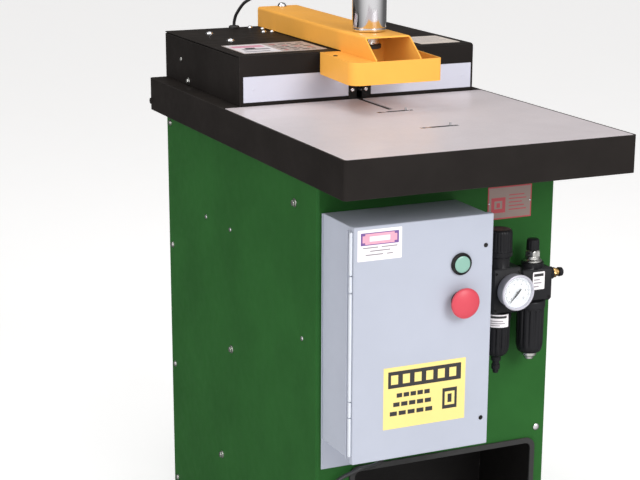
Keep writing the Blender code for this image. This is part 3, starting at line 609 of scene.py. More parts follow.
def label(name, u, v, height, plane, side, sheet, marks, body="machine", radius=0.0015, thick=0.00025):
    """A thin plate or sticker on a surface, with plain printed marks.

    side is +1 or -1: which way along the plane's thickness it stands out. marks are
    (u0, v0, u1, v1, finish) as shares of the sheet, from its lower left.
    """
    finishes = [sheet]
    bm = bmesh.new()
    lows, highs = sorted((height, height + side * thick))
    mesh = flat_mesh(name, [rectangle(u, v, radius, 4)], (lows, highs), plane)
    bm.from_mesh(mesh)
    for face in bm.faces:
        face.material_index = 0
    along, rise, out = PLANES[plane]
    for (u0, v0, u1, v1, finish), layer in zip(marks, layers(marks)):
        if finish not in finishes:
            finishes.append(finish)
        a = along * (u[0] + (u[1] - u[0]) * u0) + rise * (v[0] + (v[1] - v[0]) * v0) + out * lows
        b = along * (u[0] + (u[1] - u[0]) * u1) + rise * (v[0] + (v[1] - v[0]) * v1) + out * highs
        if side > 0:
            b += out * LAYER * layer
        else:
            a -= out * LAYER * layer
        add_block(bm, a, b, index=finishes.index(finish))
    mesh = to_mesh(bm, name)
    return piece(name, mesh, finishes, body, sharp=0)


def skin(node, finish, body="machine", edge=0.0, sharp=35):
    """A clean copy of a CAD node: its corners joined, smooth round its bends, with its edges eased."""
    mesh = nodes[node].data.copy()
    bm = bmesh.new()
    bm.from_mesh(mesh)
    bmesh.ops.remove_doubles(bm, verts=bm.verts, dist=MERGE)
    bmesh.ops.dissolve_limit(bm, angle_limit=FLAT, verts=bm.verts, edges=bm.edges)
    bmesh.ops.recalc_face_normals(bm, faces=bm.faces)
    bm.to_mesh(mesh)
    bm.free()
    thing = piece(node + "_skin", mesh, finish, body, replaces=[node], sharp=sharp)
    if edge:
        modifier = thing.modifiers.new("edges", "BEVEL")
        modifier.width = edge
        modifier.segments = 2
        modifier.limit_method = "ANGLE"
        modifier.angle_limit = math.radians(50)
        modifier.harden_normals = True
        modifier.use_clamp_overlap = True
    return thing


def free_line(name, node, route, radius, finish):
    """A free hose or lead, swept along its route with its own thickness, in place of its CAD node."""
    line = smooth_line(route, 10)
    thing = swept(name, line, [radius] * len(line), finish, "machine", 24, [node])
    return line


def sleeve(name, line, start, length, thick, thin, finish):
    """A ribbed, tapered strain relief along the first part of a line, from start to start + length."""
    run, spots = 0.0, []
    for a, b in zip(line, line[1:]):
        step = (b - a).length
        count = max(1, int(step / 0.0004))
        for k in range(count):
            at = run + step * k / count
            if start <= at <= start + length:
                spots.append((a.lerp(b, k / count), (at - start) / length))
        run += step
    radii = []
    for spot, share in spots:
        rib = 0.0007 if 0.12 < share < 0.94 and math.sin(share * math.pi * 15) > 0 else 0.0
        radii.append(thick + (thin - thick) * share - rib)
    swept(name, [spot for spot, share in spots], radii, finish, "machine", 24)


def make_cords():
    """The air hose from the housing's lid to the elbow, and the pedal's lead below the enclosure."""
    route = [
        (-0.1032, 0.5030, 1.1050), (-0.1032, 0.5030, 1.1290), (-0.1032, 0.4990, 1.1400),
        (-0.1032, 0.4850, 1.1560),
        (-0.1032, 0.4420, 1.1830), (-0.0990, 0.3900, 1.2050), (-0.0840, 0.3200, 1.2550),
        (-0.0600, 0.2400, 1.3040),
        (-0.0330, 0.1650, 1.3330), (-0.0080, 0.1080, 1.3410), (0.0060, 0.0740, 1.3405),
        (0.0086, 0.0493, 1.3396),
    ]
    free_line("air_hose_line", "air_hose", route, 0.0036, LEAD)
    route = [
        (-0.1600, -0.4000, 0.4150), (-0.1600, -0.4000, 0.4040), (-0.1602, -0.3980, 0.3960),
        (-0.1625, -0.3890, 0.3830),
        (-0.1690, -0.3690, 0.3690), (-0.1800, -0.3470, 0.3570), (-0.1980, -0.3390, 0.3480),
        (-0.2180, -0.3370, 0.3400),
        (-0.2350, -0.3380, 0.3290), (-0.2450, -0.3420, 0.3110), (-0.2485, -0.3500, 0.2890),
        (-0.2480, -0.3570, 0.2660),
        (-0.2455, -0.3540, 0.2470), (-0.2435, -0.3455, 0.2355), (-0.2430, -0.3360, 0.2308),
        (-0.2430, -0.3267, 0.2300),
    ]
    line = free_line("pedal_lead_line", "pedal_lead", route, 0.0040, LEAD)
    sleeve("lead_relief", line, 0.415 - low("lead_gland").z, 0.0220, 0.0068, 0.0047, RUBBER)


def make_skins():
    for node, finish, edge in (
        ("cabinet_wrap", GREEN, 0.0), ("cabinet_rear", GREEN, 0.0006), ("cabinet_base", GREEN, 0.0005),
        ("base_rail_left", BLACK, 0.0008), ("base_rail_right", BLACK, 0.0008), ("table_tray", BLACK, 0.0012),
        ("rear_deck", BLACK, 0.0005), ("fence_backer", BLACK, 0.0006), ("housing_lid", BLACK, 0.0005),
        ("housing_side_left", BLACK, 0.0006), ("housing_rear", BLACK, 0.0005),
        ("recess_trim", RUBBER, 0.0012),
        ("table_laminate", LAMINATE, 0.0004), ("fence_strip_left", ALUMINIUM, 0.0005),
        ("fence_strip_right", ALUMINIUM, 0.0005), ("notch_block_left", BLACK_SATIN, 0.0006),
        ("notch_block_right", BLACK_SATIN, 0.0006), ("arm_channel", YELLOW, 0.0006),
        ("guard_band", YELLOW, 0.0006),
        ("enclosure_mount_plate", PALE, 0.0004), ("enclosure_box", PALE, 0.0005),
        ("lead_gland", PLASTIC, 0.0004),
        ("hose_grommet", RUBBER, 0.0), ("lead_grommet", RUBBER, 0.0),
        ("lubricator_body", PLASTIC, 0.0), ("regulator_body", PLASTIC, 0.0),
        ("lift_cylinder", ALUMINIUM, 0.0006),
        ("pedal_base", BLACK, 0.0012),
    ):
        skin(node, finish, "machine", edge)
    skin("enclosure_door", PALE, "door", 0.0008)
    skin("clamp_pad", RUBBER, "clamp", 0.0)
    skin("clamp_rod", STEEL, "clamp", 0.0)
    skin("spindle_motor", STEEL, "cutting_head", 0.0)
    skin("spindle_carriage", STEEL, "cutting_head", 0.0005)
    skin("cutter", CARBIDE, "cutter", 0.0)


# ---- clamp cylinder on the arm -----------------------------------------------------------------------
def make_cylinder():
    body_low, body_high = low("clamp_cylinder"), high("clamp_cylinder")
    radius = (body_high.x - body_low.x) / 2
    x, y = (body_high.x + body_low.x) / 2, (body_high.y + body_low.y) / 2
    seat = high("nose_nut").z + 0.0051
    top = body_high.z
    rings = [
        (0.0154, body_low.z), (0.0154, seat), (radius - 0.0034, seat), (radius - 0.0014, seat + 0.0007),
        (radius - 0.0007, seat + 0.0022), (radius - 0.0008, seat + 0.0058), (radius - 0.0017, seat + 0.0066),
        (radius - 0.0017, seat + 0.0074), (radius - 0.0003, seat + 0.0084), (radius, seat + 0.0092),
        (radius, top - 0.0110), (radius - 0.0012, top - 0.0100), (radius - 0.0012, top - 0.0085),
        (radius, top - 0.0075), (radius, top), (0.0084, top), (0.0084, body_low.z),
    ]
    turned(
        "cylinder_barrel", rings, (x, y, 0), UP, CHROME, "machine", 96, closed=True,
        replaces=["clamp_cylinder"]
    )
    cap_low, cap_high = low("cylinder_cap").z, high("cylinder_cap").z
    rings = [
        (0, cap_low), (radius - 0.0011, cap_low), (radius - 0.0010, cap_low + 0.0140),
        (radius - 0.0018, cap_low + 0.0165),
        (radius - 0.0040, cap_low + 0.0186), (0.0265, cap_high - 0.0006), (0.0180, cap_high), (0, cap_high),
    ]
    turned("cylinder_head", rings, (x, y, 0), UP, CHROME, "machine", 96, replaces=["cylinder_cap"])
    nut_low, nut_high = low("nose_nut").z, high("nose_nut").z
    rings = [
        (0.0158, nut_low), (0.0215, nut_low), (0.0235, nut_low + 0.0016, "hex"),
        (0.0235, nut_high - 0.0016, "hex"),
        (0.0215, nut_high), (0.0158, nut_high),
    ]
    turned("nose_nut_hex", rings, (x, y, 0), UP, ZINC, "machine", 72, closed=True, replaces=["nose_nut"])
    base, head = low("cylinder_elbow").z, high("cylinder_elbow").z
    reach = high("cylinder_elbow").y
    bm = bmesh.new()
    rings = [
        (0, base), (0.0080, base), (0.0088, base + 0.0008, "hex"), (0.0088, base + 0.0058, "hex"),
        (0.0076, base + 0.0066), (0.0062, base + 0.0070), (0.0062, head - 0.0030), (0.0048, head - 0.0005),
        (0.0030, head), (0, head),
    ]
    add_rings(bm, rings, (x, y, 0), UP, 48)
    rings = [
        (0, 0.002), (0.0060, 0.002), (0.0060, 0.0130), (0.0068, 0.0134), (0.0068, 0.0180), (0.0056, 0.0184),
        (0.0056, 0.0200), (0.0066, 0.0204), (0.0066, reach - y - 0.0006), (0.0058, reach - y), (0, reach - y),
    ]
    add_rings(bm, rings, (x, y, head - 0.0075), BACK, 40)
    piece("cylinder_elbow_fitting", to_mesh(bm, "elbow"), PLASTIC, "machine", replaces=["cylinder_elbow"])
    dome = middle("arm_dome_nut")
    foot = low("arm_dome_nut").z
    rings = [
        (0, foot), (0.0104, foot), (0.0106, foot + 0.0006), (0.0105, foot + 0.0016), (0.0098, foot + 0.0022),
        (0.0096, foot + 0.0034), (0.0086, foot + 0.0058), (0.0066, foot + 0.0076), (0.0040, foot + 0.0086),
        (0, foot + 0.0089),
    ]
    turned("arm_dome_cap", rings, (dome.x, dome.y, 0), UP, CHROME, "machine", 60, replaces=["arm_dome_nut"])


# ---- air preparation unit ----------------------------------------------------------------------------
def ribbed(name, rings, at, axis, ribs, depth, finish, body, **extra):
    """A turned shape whose rings marked "rib" are fluted all round."""
    bm = bmesh.new()
    sides = ribs * 6
    plain = [(ring[0], ring[1]) for ring in rings]
    loops = add_rings(bm, plain, at, axis, sides)
    centre, along = Vector(at), Vector(axis).normalized()
    for ring, loop in zip(rings, loops):
        if len(ring) < 3 or len(loop) < 2:
            continue
        for k, vert in enumerate(loop):
            out = vert.co - centre
            out -= along * out.dot(along)
            if k % 6 in (0, 1):
                vert.co -= out.normalized() * depth
    return piece(name, to_mesh(bm, name), finish, body, sharp=40, **extra)


def make_air_unit():
    knob_low, knob_high = low("regulator_knob"), high("regulator_knob")
    x, y = (knob_low.x + knob_high.x) / 2, (knob_low.y + knob_high.y) / 2
    z0, z1 = knob_low.z, knob_high.z
    rings = [
        (0, z0), (0.0245, z0), (0.0258, z0 + 0.0010), (0.0261, z0 + 0.0030), (0.0261, z0 + 0.0100),
        (0.0248, z0 + 0.0112), (0.0252, z0 + 0.0130, "rib"), (0.0246, z1 - 0.0080, "rib"),
        (0.0236, z1 - 0.0030),
        (0.0215, z1 - 0.0008), (0.0190, z1), (0.0175, z1 - 0.0006), (0, z1 - 0.0006),
    ]
    ribbed(
        "regulator_grip", rings, (x, y, 0), UP, 24, 0.0011, PLASTIC, "regulator", replaces=["regulator_knob"]
    )

    bowl_high = high("filter_bowl").z
    rings = [
        (0, 0), (0.0245, 0), (0.0262, -0.0010), (0.0275, -0.0032), (0.0275, -0.0120), (0.0262, -0.0132),
        (0.0262, -0.0150), (0.0258, -0.0165, "rib"), (0.0256, -0.0700, "rib"), (0.0240, -0.0790, "rib"),
        (0.0205, -0.0860), (0.0150, -0.0905), (0.0112, -0.0922), (0.0100, -0.0945), (0.0100, -0.1010),
        (0.0072, -0.1018),
        (0.0068, -0.1090), (0.0085, -0.1100), (0.0085, -0.1190), (0.0068, -0.1200), (0.0050, -0.1275),
        (0, -0.1275),
    ]
    ribbed(
        "filter_bowl_guard", rings, (x, y, bowl_high), UP, 14, 0.0020, PLASTIC, "machine",
        replaces=["filter_bowl"]
    )

    lub_x = (low("lubricator_bowl").x + high("lubricator_bowl").x) / 2
    top = high("lubricator_bowl").z
    rings = [
        (0, 0), (0.0275, 0), (0.0286, -0.0010), (0.0290, -0.0030), (0.0290, -0.0140), (0.0276, -0.0152),
        (0.0276, -0.0170), (0.0273, -0.0185, "rib"), (0.0270, -0.0880, "rib"), (0.0262, -0.0960),
        (0.0236, -0.1050), (0.0190, -0.1083), (0, -0.1083),
    ]
    ribbed(
        "lubricator_bowl_guard", rings, (lub_x, y, top), UP, 14, 0.0020, PLASTIC, "machine",
        replaces=["lubricator_bowl"]
    )
    rings = [
        (0, -0.1080), (0.0145, -0.1080), (0.0150, -0.1095), (0.0150, -0.1150), (0.0135, -0.1165),
        (0.0100, -0.1172),
        (0.0092, -0.1225), (0.0080, -0.1233), (0, -0.1233),
    ]
    ribbed("lubricator_drain", rings, (lub_x, y, top), UP, 18, 0.0006, ZINC, "machine")

    foot = low("lubricator_dome").z
    rings = [
        (0, 0), (0.0182, 0), (0.0190, 0.0008), (0.0190, 0.0034), (0.0168, 0.0044), (0.0150, 0.0062),
        (0.0148, 0.0110),
        (0.0150, 0.0118, "hex"), (0.0160, 0.0120, "hex"), (0.0160, 0.0218, "hex"), (0.0142, 0.0226),
        (0.0128, 0.0240), (0, 0.0240),
    ]
    turned(
        "lubricator_sight_nut", rings, (lub_x, y, foot), UP, ZINC, "machine", 72, replaces=["lubricator_dome"]
    )
    rings = [
        (0, 0.0238), (0.0120, 0.0238), (0.0128, 0.0246, "rib"), (0.0127, 0.0400, "rib"), (0.0118, 0.0445),
        (0.0096, 0.0462), (0.0060, 0.0466), (0, 0.0466),
    ]
    ribbed("lubricator_cap", rings, (lub_x, y, foot), UP, 12, 0.0008, PLASTIC, "machine")

    body_high = high("lubricator_body")
    port = Vector((body_high.x, y, 0.7180))
    bm = bmesh.new()
    rings = [
        (0, 0), (0.0092, 0), (0.0106, 0.0008, "hex"), (0.0106, 0.0078, "hex"), (0.0092, 0.0086),
        (0.0078, 0.0090),
        (0.0078, 0.0124), (0.0064, 0.0138), (0.0064, 0.0196), (0.0052, 0.0204), (0.0044, 0.0204),
        (0.0044, 0.0150), (0, 0.0150),
    ]
    add_rings(bm, rings, port, RIGHT, 48)
    piece("outlet_fitting", to_mesh(bm, "outlet"), BRASS, "machine")
    rings = [
        (0.0048, 0.0150), (0.0086, 0.0150), (0.0094, 0.0160), (0.0088, 0.0226), (0.0070, 0.0242),
        (0.0048, 0.0242)
    ]
    turned("outlet_collar", rings, port, RIGHT, PLASTIC, "machine", 40, closed=True)

    a, b = low("regulator_body"), high("regulator_body")
    front = a.y
    c, d = low("lubricator_body"), high("lubricator_body")
    block(
        "joint_clamp", (b.x - 0.0040, front + 0.0060, 0.6800), (c.x + 0.0050, front + 0.0010, 0.7260),
        BLACK_SATIN, "machine", 0.0012
    )
    for k, z in enumerate((0.6900, 0.7160)):
        fastener("joint_screw_%d" % k, (c.x, front + 0.0010, z), FRONT, 0.0028, 0.0020)
    for k, (bx, bz) in enumerate(((0.0845, 0.6620), (0.1360, 0.6620), (0.0845, 0.7360), (0.1360, 0.7360))):
        fastener("regulator_screw_%d" % k, (bx, front, bz), FRONT, 0.0026, 0.0018, BLACK_SATIN)
    for k, (bx, bz) in enumerate(((0.1520, 0.6765), (0.2065, 0.6765))):
        fastener("lubricator_screw_%d" % k, (bx, c.y, bz), FRONT, 0.0026, 0.0018, BLACK_SATIN)
    label("lubricator_label", (0.1680, 0.1950), (0.6940, 0.7300), c.y, "XZ", -1, PAPER, [
        (0.10, 0.74, 0.90, 0.90, INK), (0.10, 0.52, 0.60, 0.60, INK_GREY), (0.10, 0.34, 0.75, 0.42, INK_GREY),
        (0.10, 0.14, 0.52, 0.22, INK_GREY),
    ])
    curved_label("filter_label", (x, y), 0.02775, bowl_high - 0.0004, bowl_high - 0.0262, -2.75, -1.20)
    make_gauge()


def curved_label(name, centre, radius, top, bottom, start, end):
    """A sticker wrapped round a bowl, on a smooth saddle that stands off the ribs."""
    bm = bmesh.new()
    steps = 14
    marks = [
        (0.10, 0.72, 0.88, 0.90), (0.10, 0.46, 0.70, 0.54), (0.10, 0.28, 0.80, 0.36), (0.10, 0.12, 0.55, 0.19)
    ]

    def sheet(u0, v0, u1, v1, inner, outer, index):
        columns = []
        for k in range(steps + 1):
            angle = start + (end - start) * (u0 + (u1 - u0) * k / steps)
            side = Vector((math.cos(angle), math.sin(angle), 0))
            spot = Vector((centre[0], centre[1], 0))
            z0, z1 = bottom + (top - bottom) * v0, bottom + (top - bottom) * v1
            column = [
                bm.verts.new(spot + side * reach + UP * z)
                for reach, z in ((inner, z0), (outer, z0), (outer, z1), (inner, z1))
            ]
            columns.append(column)
        for one, two in zip(columns, columns[1:]):
            for k in range(4):
                face = bm.faces.new((one[k], one[(k + 1) % 4], two[(k + 1) % 4], two[k]))
                face.material_index = index
        for column in (columns[0], columns[-1]):
            bm.faces.new(column).material_index = index

    sheet(0, 0, 1, 1, radius - 0.0020, radius, 0)
    for k, (u0, v0, u1, v1) in enumerate(marks):
        sheet(u0, v0, u1, v1, radius - 0.0005, radius + 0.00006, 1 if k == 0 else 2)
    piece(name, to_mesh(bm, name), [PAPER, INK, INK_GREY], "machine", sharp=35)


def flat_text(text, size):
    """A digit string as a filled flat mesh, centred on the origin."""
    curve = bpy.data.curves.new("digits", "FONT")
    curve.body = text
    curve.size = size
    curve.align_x = "CENTER"
    curve.align_y = "CENTER"
    drawn = bpy.data.objects.new("digits", curve)
    bpy.context.scene.collection.objects.link(drawn)
    bpy.context.view_layer.update()
    graph = bpy.context.evaluated_depsgraph_get()
    mesh = bpy.data.meshes.new_from_object(drawn.evaluated_get(graph))
    bpy.data.objects.remove(drawn, do_unlink=True)
    bpy.data.curves.remove(curve)
    return mesh


def make_gauge():
    a, b = low("pressure_gauge"), high("pressure_gauge")
    rim = (b.x - a.x) / 2
    x, z = (a.x + b.x) / 2, (a.z + b.z) / 2
    front, back = a.y, b.y
    depth = back - front
    rings = [
        (0, 0.0056), (rim - 0.0050, 0.0056), (rim - 0.0047, 0.0010), (rim - 0.0040, 0.0002),
        (rim - 0.0018, 0.0),
        (rim - 0.0004, 0.0010), (rim, 0.0030), (rim - 0.0002, 0.0052), (rim - 0.0018, 0.0066),
        (rim - 0.0026, 0.0072),
        (rim - 0.0028, depth - 0.0030), (rim - 0.0042, depth - 0.0008), (rim - 0.0075, depth), (0, depth),
    ]
    turned("gauge_case", rings, (x, front, z), BACK, BEZEL, "machine", 96, replaces=["pressure_gauge"])
    centre = Vector((x, front + 0.0055, z))
    bm = bmesh.new()
    add_rings(bm, [(0, 0), (rim - 0.0052, 0), (rim - 0.0052, 0.0010), (0, 0.0010)], centre, BACK, 72)
    for face in bm.faces:
        face.material_index = 0

    def on_dial(u, v, lift=0.00012):
        return centre + RIGHT * u + UP * v + FRONT * lift

    def quad(points, index):
        face = bm.faces.new([bm.verts.new(on_dial(u, v)) for u, v in points])
        face.material_index = index

    start, sweep, divisions = math.radians(-135), math.radians(270), 40
    for k in range(divisions + 1):
        turn = start + sweep * k / divisions
        out = (math.sin(turn), math.cos(turn))
        side = (out[1], -out[0])
        long = k % 4 == 0
        inner, outer = (0.0225 if long else 0.0243), 0.0262
        half = 0.00038 if long else 0.00020
        quad([
            (out[0] * r + side[0] * h, out[1] * r + side[1] * h)
            for r, h in ((inner, -half), (inner, half), (outer, half), (outer, -half))
        ], 1)
    arc = [start + sweep * k / 60 for k in range(61)]
    for one, two in zip(arc, arc[1:]):
        quad([
            (math.sin(t) * r, math.cos(t) * r) for t,
            r in ((one, 0.0262), (two, 0.0262), (two, 0.0266), (one, 0.0266))
        ], 1)
    for k in range(6):
        turn = start + sweep * k / 5
        digits = flat_text(str(k * 2), 0.0066)
        shift = Vector((math.sin(turn) * 0.0182, math.cos(turn) * 0.0182, 0))
        base = len(bm.verts)
        bm.from_mesh(digits)
        bm.verts.ensure_lookup_table()
        fresh = bm.verts[base:]
        for vert in fresh:
            spot = vert.co + shift
            vert.co = on_dial(spot.x, spot.y)
        for face in {f for v in fresh for f in v.link_faces}:
            face.material_index = 1
    for v in (-0.0095, -0.0118):
        quad([(-0.0042, v), (0.0042, v), (0.0042, v - 0.0007), (-0.0042, v - 0.0007)], 2)
    mesh = bpy.data.meshes.new("gauge_dial")
    bm.to_mesh(mesh)
    bm.free()
    piece("gauge_dial", mesh, [DIAL, INK, INK_GREY], "machine", sharp=0)
    turned("gauge_hub", [(0, -0.0008), (0.0026, -0.0008), (0.0024, 0.0014), (0.0012, 0.0019), (0, 0.0020)],
           (x, front + 0.0026, z), FRONT, INK, "needle", 28)
    rings = [(0, 0.0018), (rim - 0.0049, 0.0018), (rim - 0.0049, 0.0008), (0, 0.0006)]
    turned("gauge_glass", rings, (x, front, z), BACK, GLASS, "machine", 72)


# ---- control enclosure -------------------------------------------------------------------------------
def make_controls():
    skin("start_bezel", BLACK_SATIN, "door", 0.0003)
    skin("stop_bezel", PLASTIC, "door", 0.0003)
    a, b = low("start_button"), high("start_button")
    x, z, radius = (a.x + b.x) / 2, (a.z + b.z) / 2, (b.x - a.x) / 2 - 0.0006
    rings = [
        (0, 0.0005), (radius * 0.45, 0.0003), (radius * 0.78, 0.0), (radius * 0.92, 0.0005), (radius, 0.0016),
        (radius, 0.0028), (radius - 0.0004, 0.0034), (0, 0.0034),
    ]
    turned("start_cap", rings, (x, a.y, z), BACK, LENS, "start", 72)
    button_stem()
    make_mushroom()


def button_stem():
    """The start button's own body, drawn back a little behind its lens."""
    mesh = nodes["start_button"].data.copy()
    bm = bmesh.new()
    bm.from_mesh(mesh)
    bmesh.ops.remove_doubles(bm, verts=bm.verts, dist=MERGE)
    front = low("start_button").y + 0.0020
    for vert in bm.verts:
        vert.co.y = max(vert.co.y, front)
    bmesh.ops.recalc_face_normals(bm, faces=bm.faces)
    bm.to_mesh(mesh)
    bm.free()
    piece("start_stem", mesh, PLASTIC, "start", replaces=["start_button"], sharp=50)


def make_mushroom():
    a, b = low("stop_mushroom"), high("stop_mushroom")
    x, z, radius = (a.x + b.x) / 2, (a.z + b.z) / 2, (b.x - a.x) / 2
    rings = [(0, 0.0)]
    for k in range(1, 13):
        angle = math.radians(90 * k / 12)
        rings.append((
            radius * 0.72 * math.sin(angle) + radius * 0.28 * (k / 12), 0.0085 * (1 - math.cos(angle)) ** 0.9
        ))
    rings += [
        (radius, 0.0110), (radius - 0.0006, 0.0130), (radius - 0.0030, 0.0142), (radius - 0.0075, 0.0146),
        (radius * 0.52, 0.0165), (0.0135, 0.0172), (0.0130, b.y - a.y - 0.0004), (0, b.y - a.y - 0.0004),
    ]
    turned("stop_mushroom_cap", rings, (x, a.y, z), BACK, RED, "stop", 96, replaces=["stop_mushroom"])


def make_enclosure():
    a, b = low("enclosure_door"), high("enclosure_door")
    front = a.y
    box_low, box_high = low("enclosure_box"), high("enclosure_box")
    cuts = [0.4360, 0.5140, 0.5455, 0.7555, 0.7880, 0.8710]
    for k, (z0, z1) in enumerate(zip(cuts, cuts[1:])):
        bm = bmesh.new()
        add_block(bm, (a.x + 0.0004, -0.4652, z0 + 0.0007), (a.x + 0.0060, -0.4578, z1 - 0.0007), 0.0022, 4)
        piece("hinge_knuckle_%d" % k, to_mesh(bm, "knuckle"), HINGE, "door")
    label("door_notice", (-0.2525, -0.1625), (0.8150, 0.8735), front, "XZ", -1, PAPER, [
        (0.07, 0.50, 0.93, 0.90, INK_PURPLE), (0.17, 0.53, 0.83, 0.87, PAPER_PINK),
        (0.11, 0.59, 0.89, 0.81, PAPER_PINK),
        (0.27, 0.62, 0.73, 0.78, PAPER), (0.12, 0.40, 0.46, 0.44, INK_GREY),
        (0.54, 0.40, 0.90, 0.44, INK_GREY),
        (0.28, 0.29, 0.74, 0.33, INK_GREY), (0.18, 0.17, 0.58, 0.21, INK_GREY),
        (0.66, 0.17, 0.80, 0.21, INK_GREY),
    ], body="door")
    marks = [(0.055, 0.66, 0.945, 0.93, INK)]
    marks += [(0.09 + 0.142 * k, 0.72, 0.09 + 0.142 * k + 0.085, 0.87, PAPER_YELLOW) for k in range(6)]
    for row, (u0, u1) in enumerate(((0.16, 0.58), (0.12, 0.60), (0.08, 0.62))):
        v = 0.50 - row * 0.145
        count = 5
        for k in range(count):
            w = (u1 - u0) / count
            marks.append((u0 + k * w, v, u0 + k * w + w * 0.80, v + 0.070, INK))
    marks += [
        (0.72, 0.20, 0.90, 0.54, INK), (0.75, 0.26, 0.87, 0.48, PAPER_YELLOW), (0.785, 0.30, 0.835, 0.44, INK)
    ]
    label(
        "door_plate", (-0.1960, -0.0220), (0.4820, 0.6040), front, "XZ", -1, PAPER_YELLOW, marks, body="door",
        radius=0.0006
    )
    for k, (x, z) in enumerate(((0.0144, 0.8198), (0.0144, 0.4768))):
        fastener("door_screw_%d" % k, (x, front, z), FRONT, 0.0044, 0.0019, BLACK_SATIN, "door", "cross")
    back = box_high.y - 0.0016
    for k, (x, z) in enumerate(((-0.235, 0.452), (0.005, 0.452), (-0.235, 0.850), (0.005, 0.850))):
        fastener("box_fixing_%d" % k, (x, back, z), FRONT, 0.0055, 0.0036, ZINC, "machine", "bolt", 0.0085)
    case_low, case_high = low("motor_contactor"), high("motor_contactor")
    skin("motor_contactor", PLASTIC, "machine", 0.0010)
    for k in range(3):
        x = case_low.x + (case_high.x - case_low.x) * (0.22 + 0.28 * k)
        for j, z in enumerate((case_low.z + 0.010, case_high.z - 0.010)):
            fastener(
                "terminal_%d_%d" % (k, j), (x, case_low.y, z), FRONT, 0.0045, 0.0018, ZINC, "machine", "cross"
            )
    block(
        "contactor_face", (case_low.x + 0.016, case_low.y - 0.0022, case_low.z + 0.026),
        (case_high.x - 0.016, case_low.y, case_high.z - 0.026), PAPER, "machine", 0.0008
    )
    for k, (dx, finish) in enumerate(((-0.010, COPPER), (0.0, WIRE_BLUE), (0.010, INK))):
        x = case_low.x + (case_high.x - case_low.x) * (0.22 + 0.28 * k)
        route = [
            (x, case_low.y + 0.004, case_low.z - 0.0005), (x, case_low.y + 0.004, case_low.z - 0.018),
            (x - 0.010, case_low.y + 0.014, case_low.z - 0.060), (-0.190 + dx, -0.372, 0.520),
            (-0.165 + dx * 0.5, -0.392, 0.450),
            (-0.160 + dx * 0.35, -0.400, 0.4350),
        ]
        tube("wire_%d" % k, route, 0.0013, finish, "machine", 8, 10)


# ---- cabinet, table and fence ------------------------------------------------------------------------
def make_cabinet_details():
    left, right = low("cabinet_wrap").x, high("cabinet_wrap").x
    front, rear = low("cabinet_wrap").y, high("cabinet_rear").y
    small = ((0.2653, 0.7410), (0.1204, 0.7444), (-0.2574, 0.6108))
    hexes = ((-0.2214, 0.8750), (0.1210, 0.4764), (0.1866, 0.2084))
    edge = [(0.4900, z) for z in (0.9880, 0.9140, 0.6249, 0.3308, 0.0394)]
    for side, x, out in (("left", left, LEFT), ("right", right, RIGHT)):
        for k, (y, z) in enumerate(small):
            fastener("%s_small_%d" % (side, k), (x, y, z), out, 0.0052, 0.0030, CHROME, drive="dome")
        for k, (y, z) in enumerate(hexes):
            fastener(
                "%s_bolt_%d" % (side, k), (x, y, z), out, 0.0068, 0.0046, ZINC, drive="bolt", washer=0.0088
            )
        for k, (y, z) in enumerate(edge):
            fastener(
                "%s_edge_%d" % (side, k), (x, y, z), out, 0.0060, 0.0036, ZINC, drive="dome", washer=0.0076
            )
    fastener("front_dome", (0.2301, front, 0.3760), FRONT, 0.0076, 0.0046, CHROME, drive="dome")
    inset = rear
    for k, z in enumerate((0.060, 0.350, 0.640, 0.930)):
        for j, x in enumerate((left + 0.022, right - 0.022)):
            fastener(
                "rear_panel_%d_%d" % (k, j), (x, inset, z), BACK, 0.0052, 0.0032, ZINC, drive="cross",
                washer=0.0072
            )
    for k in range(7):
        z = 0.700 + 0.018 * k
        bm = bmesh.new()
        add_block(bm, (-0.090, rear - 0.0004, z), (0.074, rear + 0.0003, z + 0.0060), 0.0003)
        piece("rear_louvre_%d" % k, to_mesh(bm, "louvre"), BLACK_SATIN, "machine")
    u, v = (0.0994, 0.1987), (0.8269, 0.8931)
    marks = [
        (0.025, 0.04, 0.975, 0.96, PLATE_GREY), (0.08, 0.20, 0.40, 0.32, INK_RED),
        (0.08, 0.32, 0.15, 0.62, INK_RED),
        (0.33, 0.32, 0.40, 0.62, INK_RED), (0.08, 0.56, 0.40, 0.66, INK_RED),
        (0.20, 0.36, 0.28, 0.50, INK_RED),
    ]
    marks += [(0.48, 0.26 + 0.11 * k, 0.88 - 0.05 * (k % 3), 0.29 + 0.11 * k, INK_RED) for k in range(5)]
    layered_plate("data_plate", u, v, front, INK_RED, marks)
    for k, x in enumerate((u[0] + 0.0030, u[1] - 0.0030)):
        fastener(
            "plate_rivet_%d" % k, (x, front - 0.0006, (v[0] + v[1]) / 2), FRONT, 0.0020, 0.0012, CHROME,
            drive="dome"
        )


def layered_plate(name, u, v, front, rim, marks):
    """A riveted metal plate: a rim, a sunk field and raised plain bars in layers, one material each."""
    bm = bmesh.new()
    finishes = [rim]
    add_block(bm, (u[0], front - 0.0006, v[0]), (u[1], front, v[1]), 0.0003, 2, 0)
    for (u0, v0, u1, v1, finish), layer in zip(marks, layers(marks)):
        if finish not in finishes:
            finishes.append(finish)
        lift = 0.0006 + LAYER * layer
        add_block(
            bm, (u[0] + (u[1] - u[0]) * u0, front - lift, v[0] + (v[1] - v[0]) * v0),
            (u[0] + (u[1] - u[0]) * u1, front - 0.0005, v[0] + (v[1] - v[0]) * v1), 0.0, 1,
            finishes.index(finish),
        )
    piece(name, to_mesh(bm, name), finishes, "machine", sharp=0, slot="zinc_plated_steel")


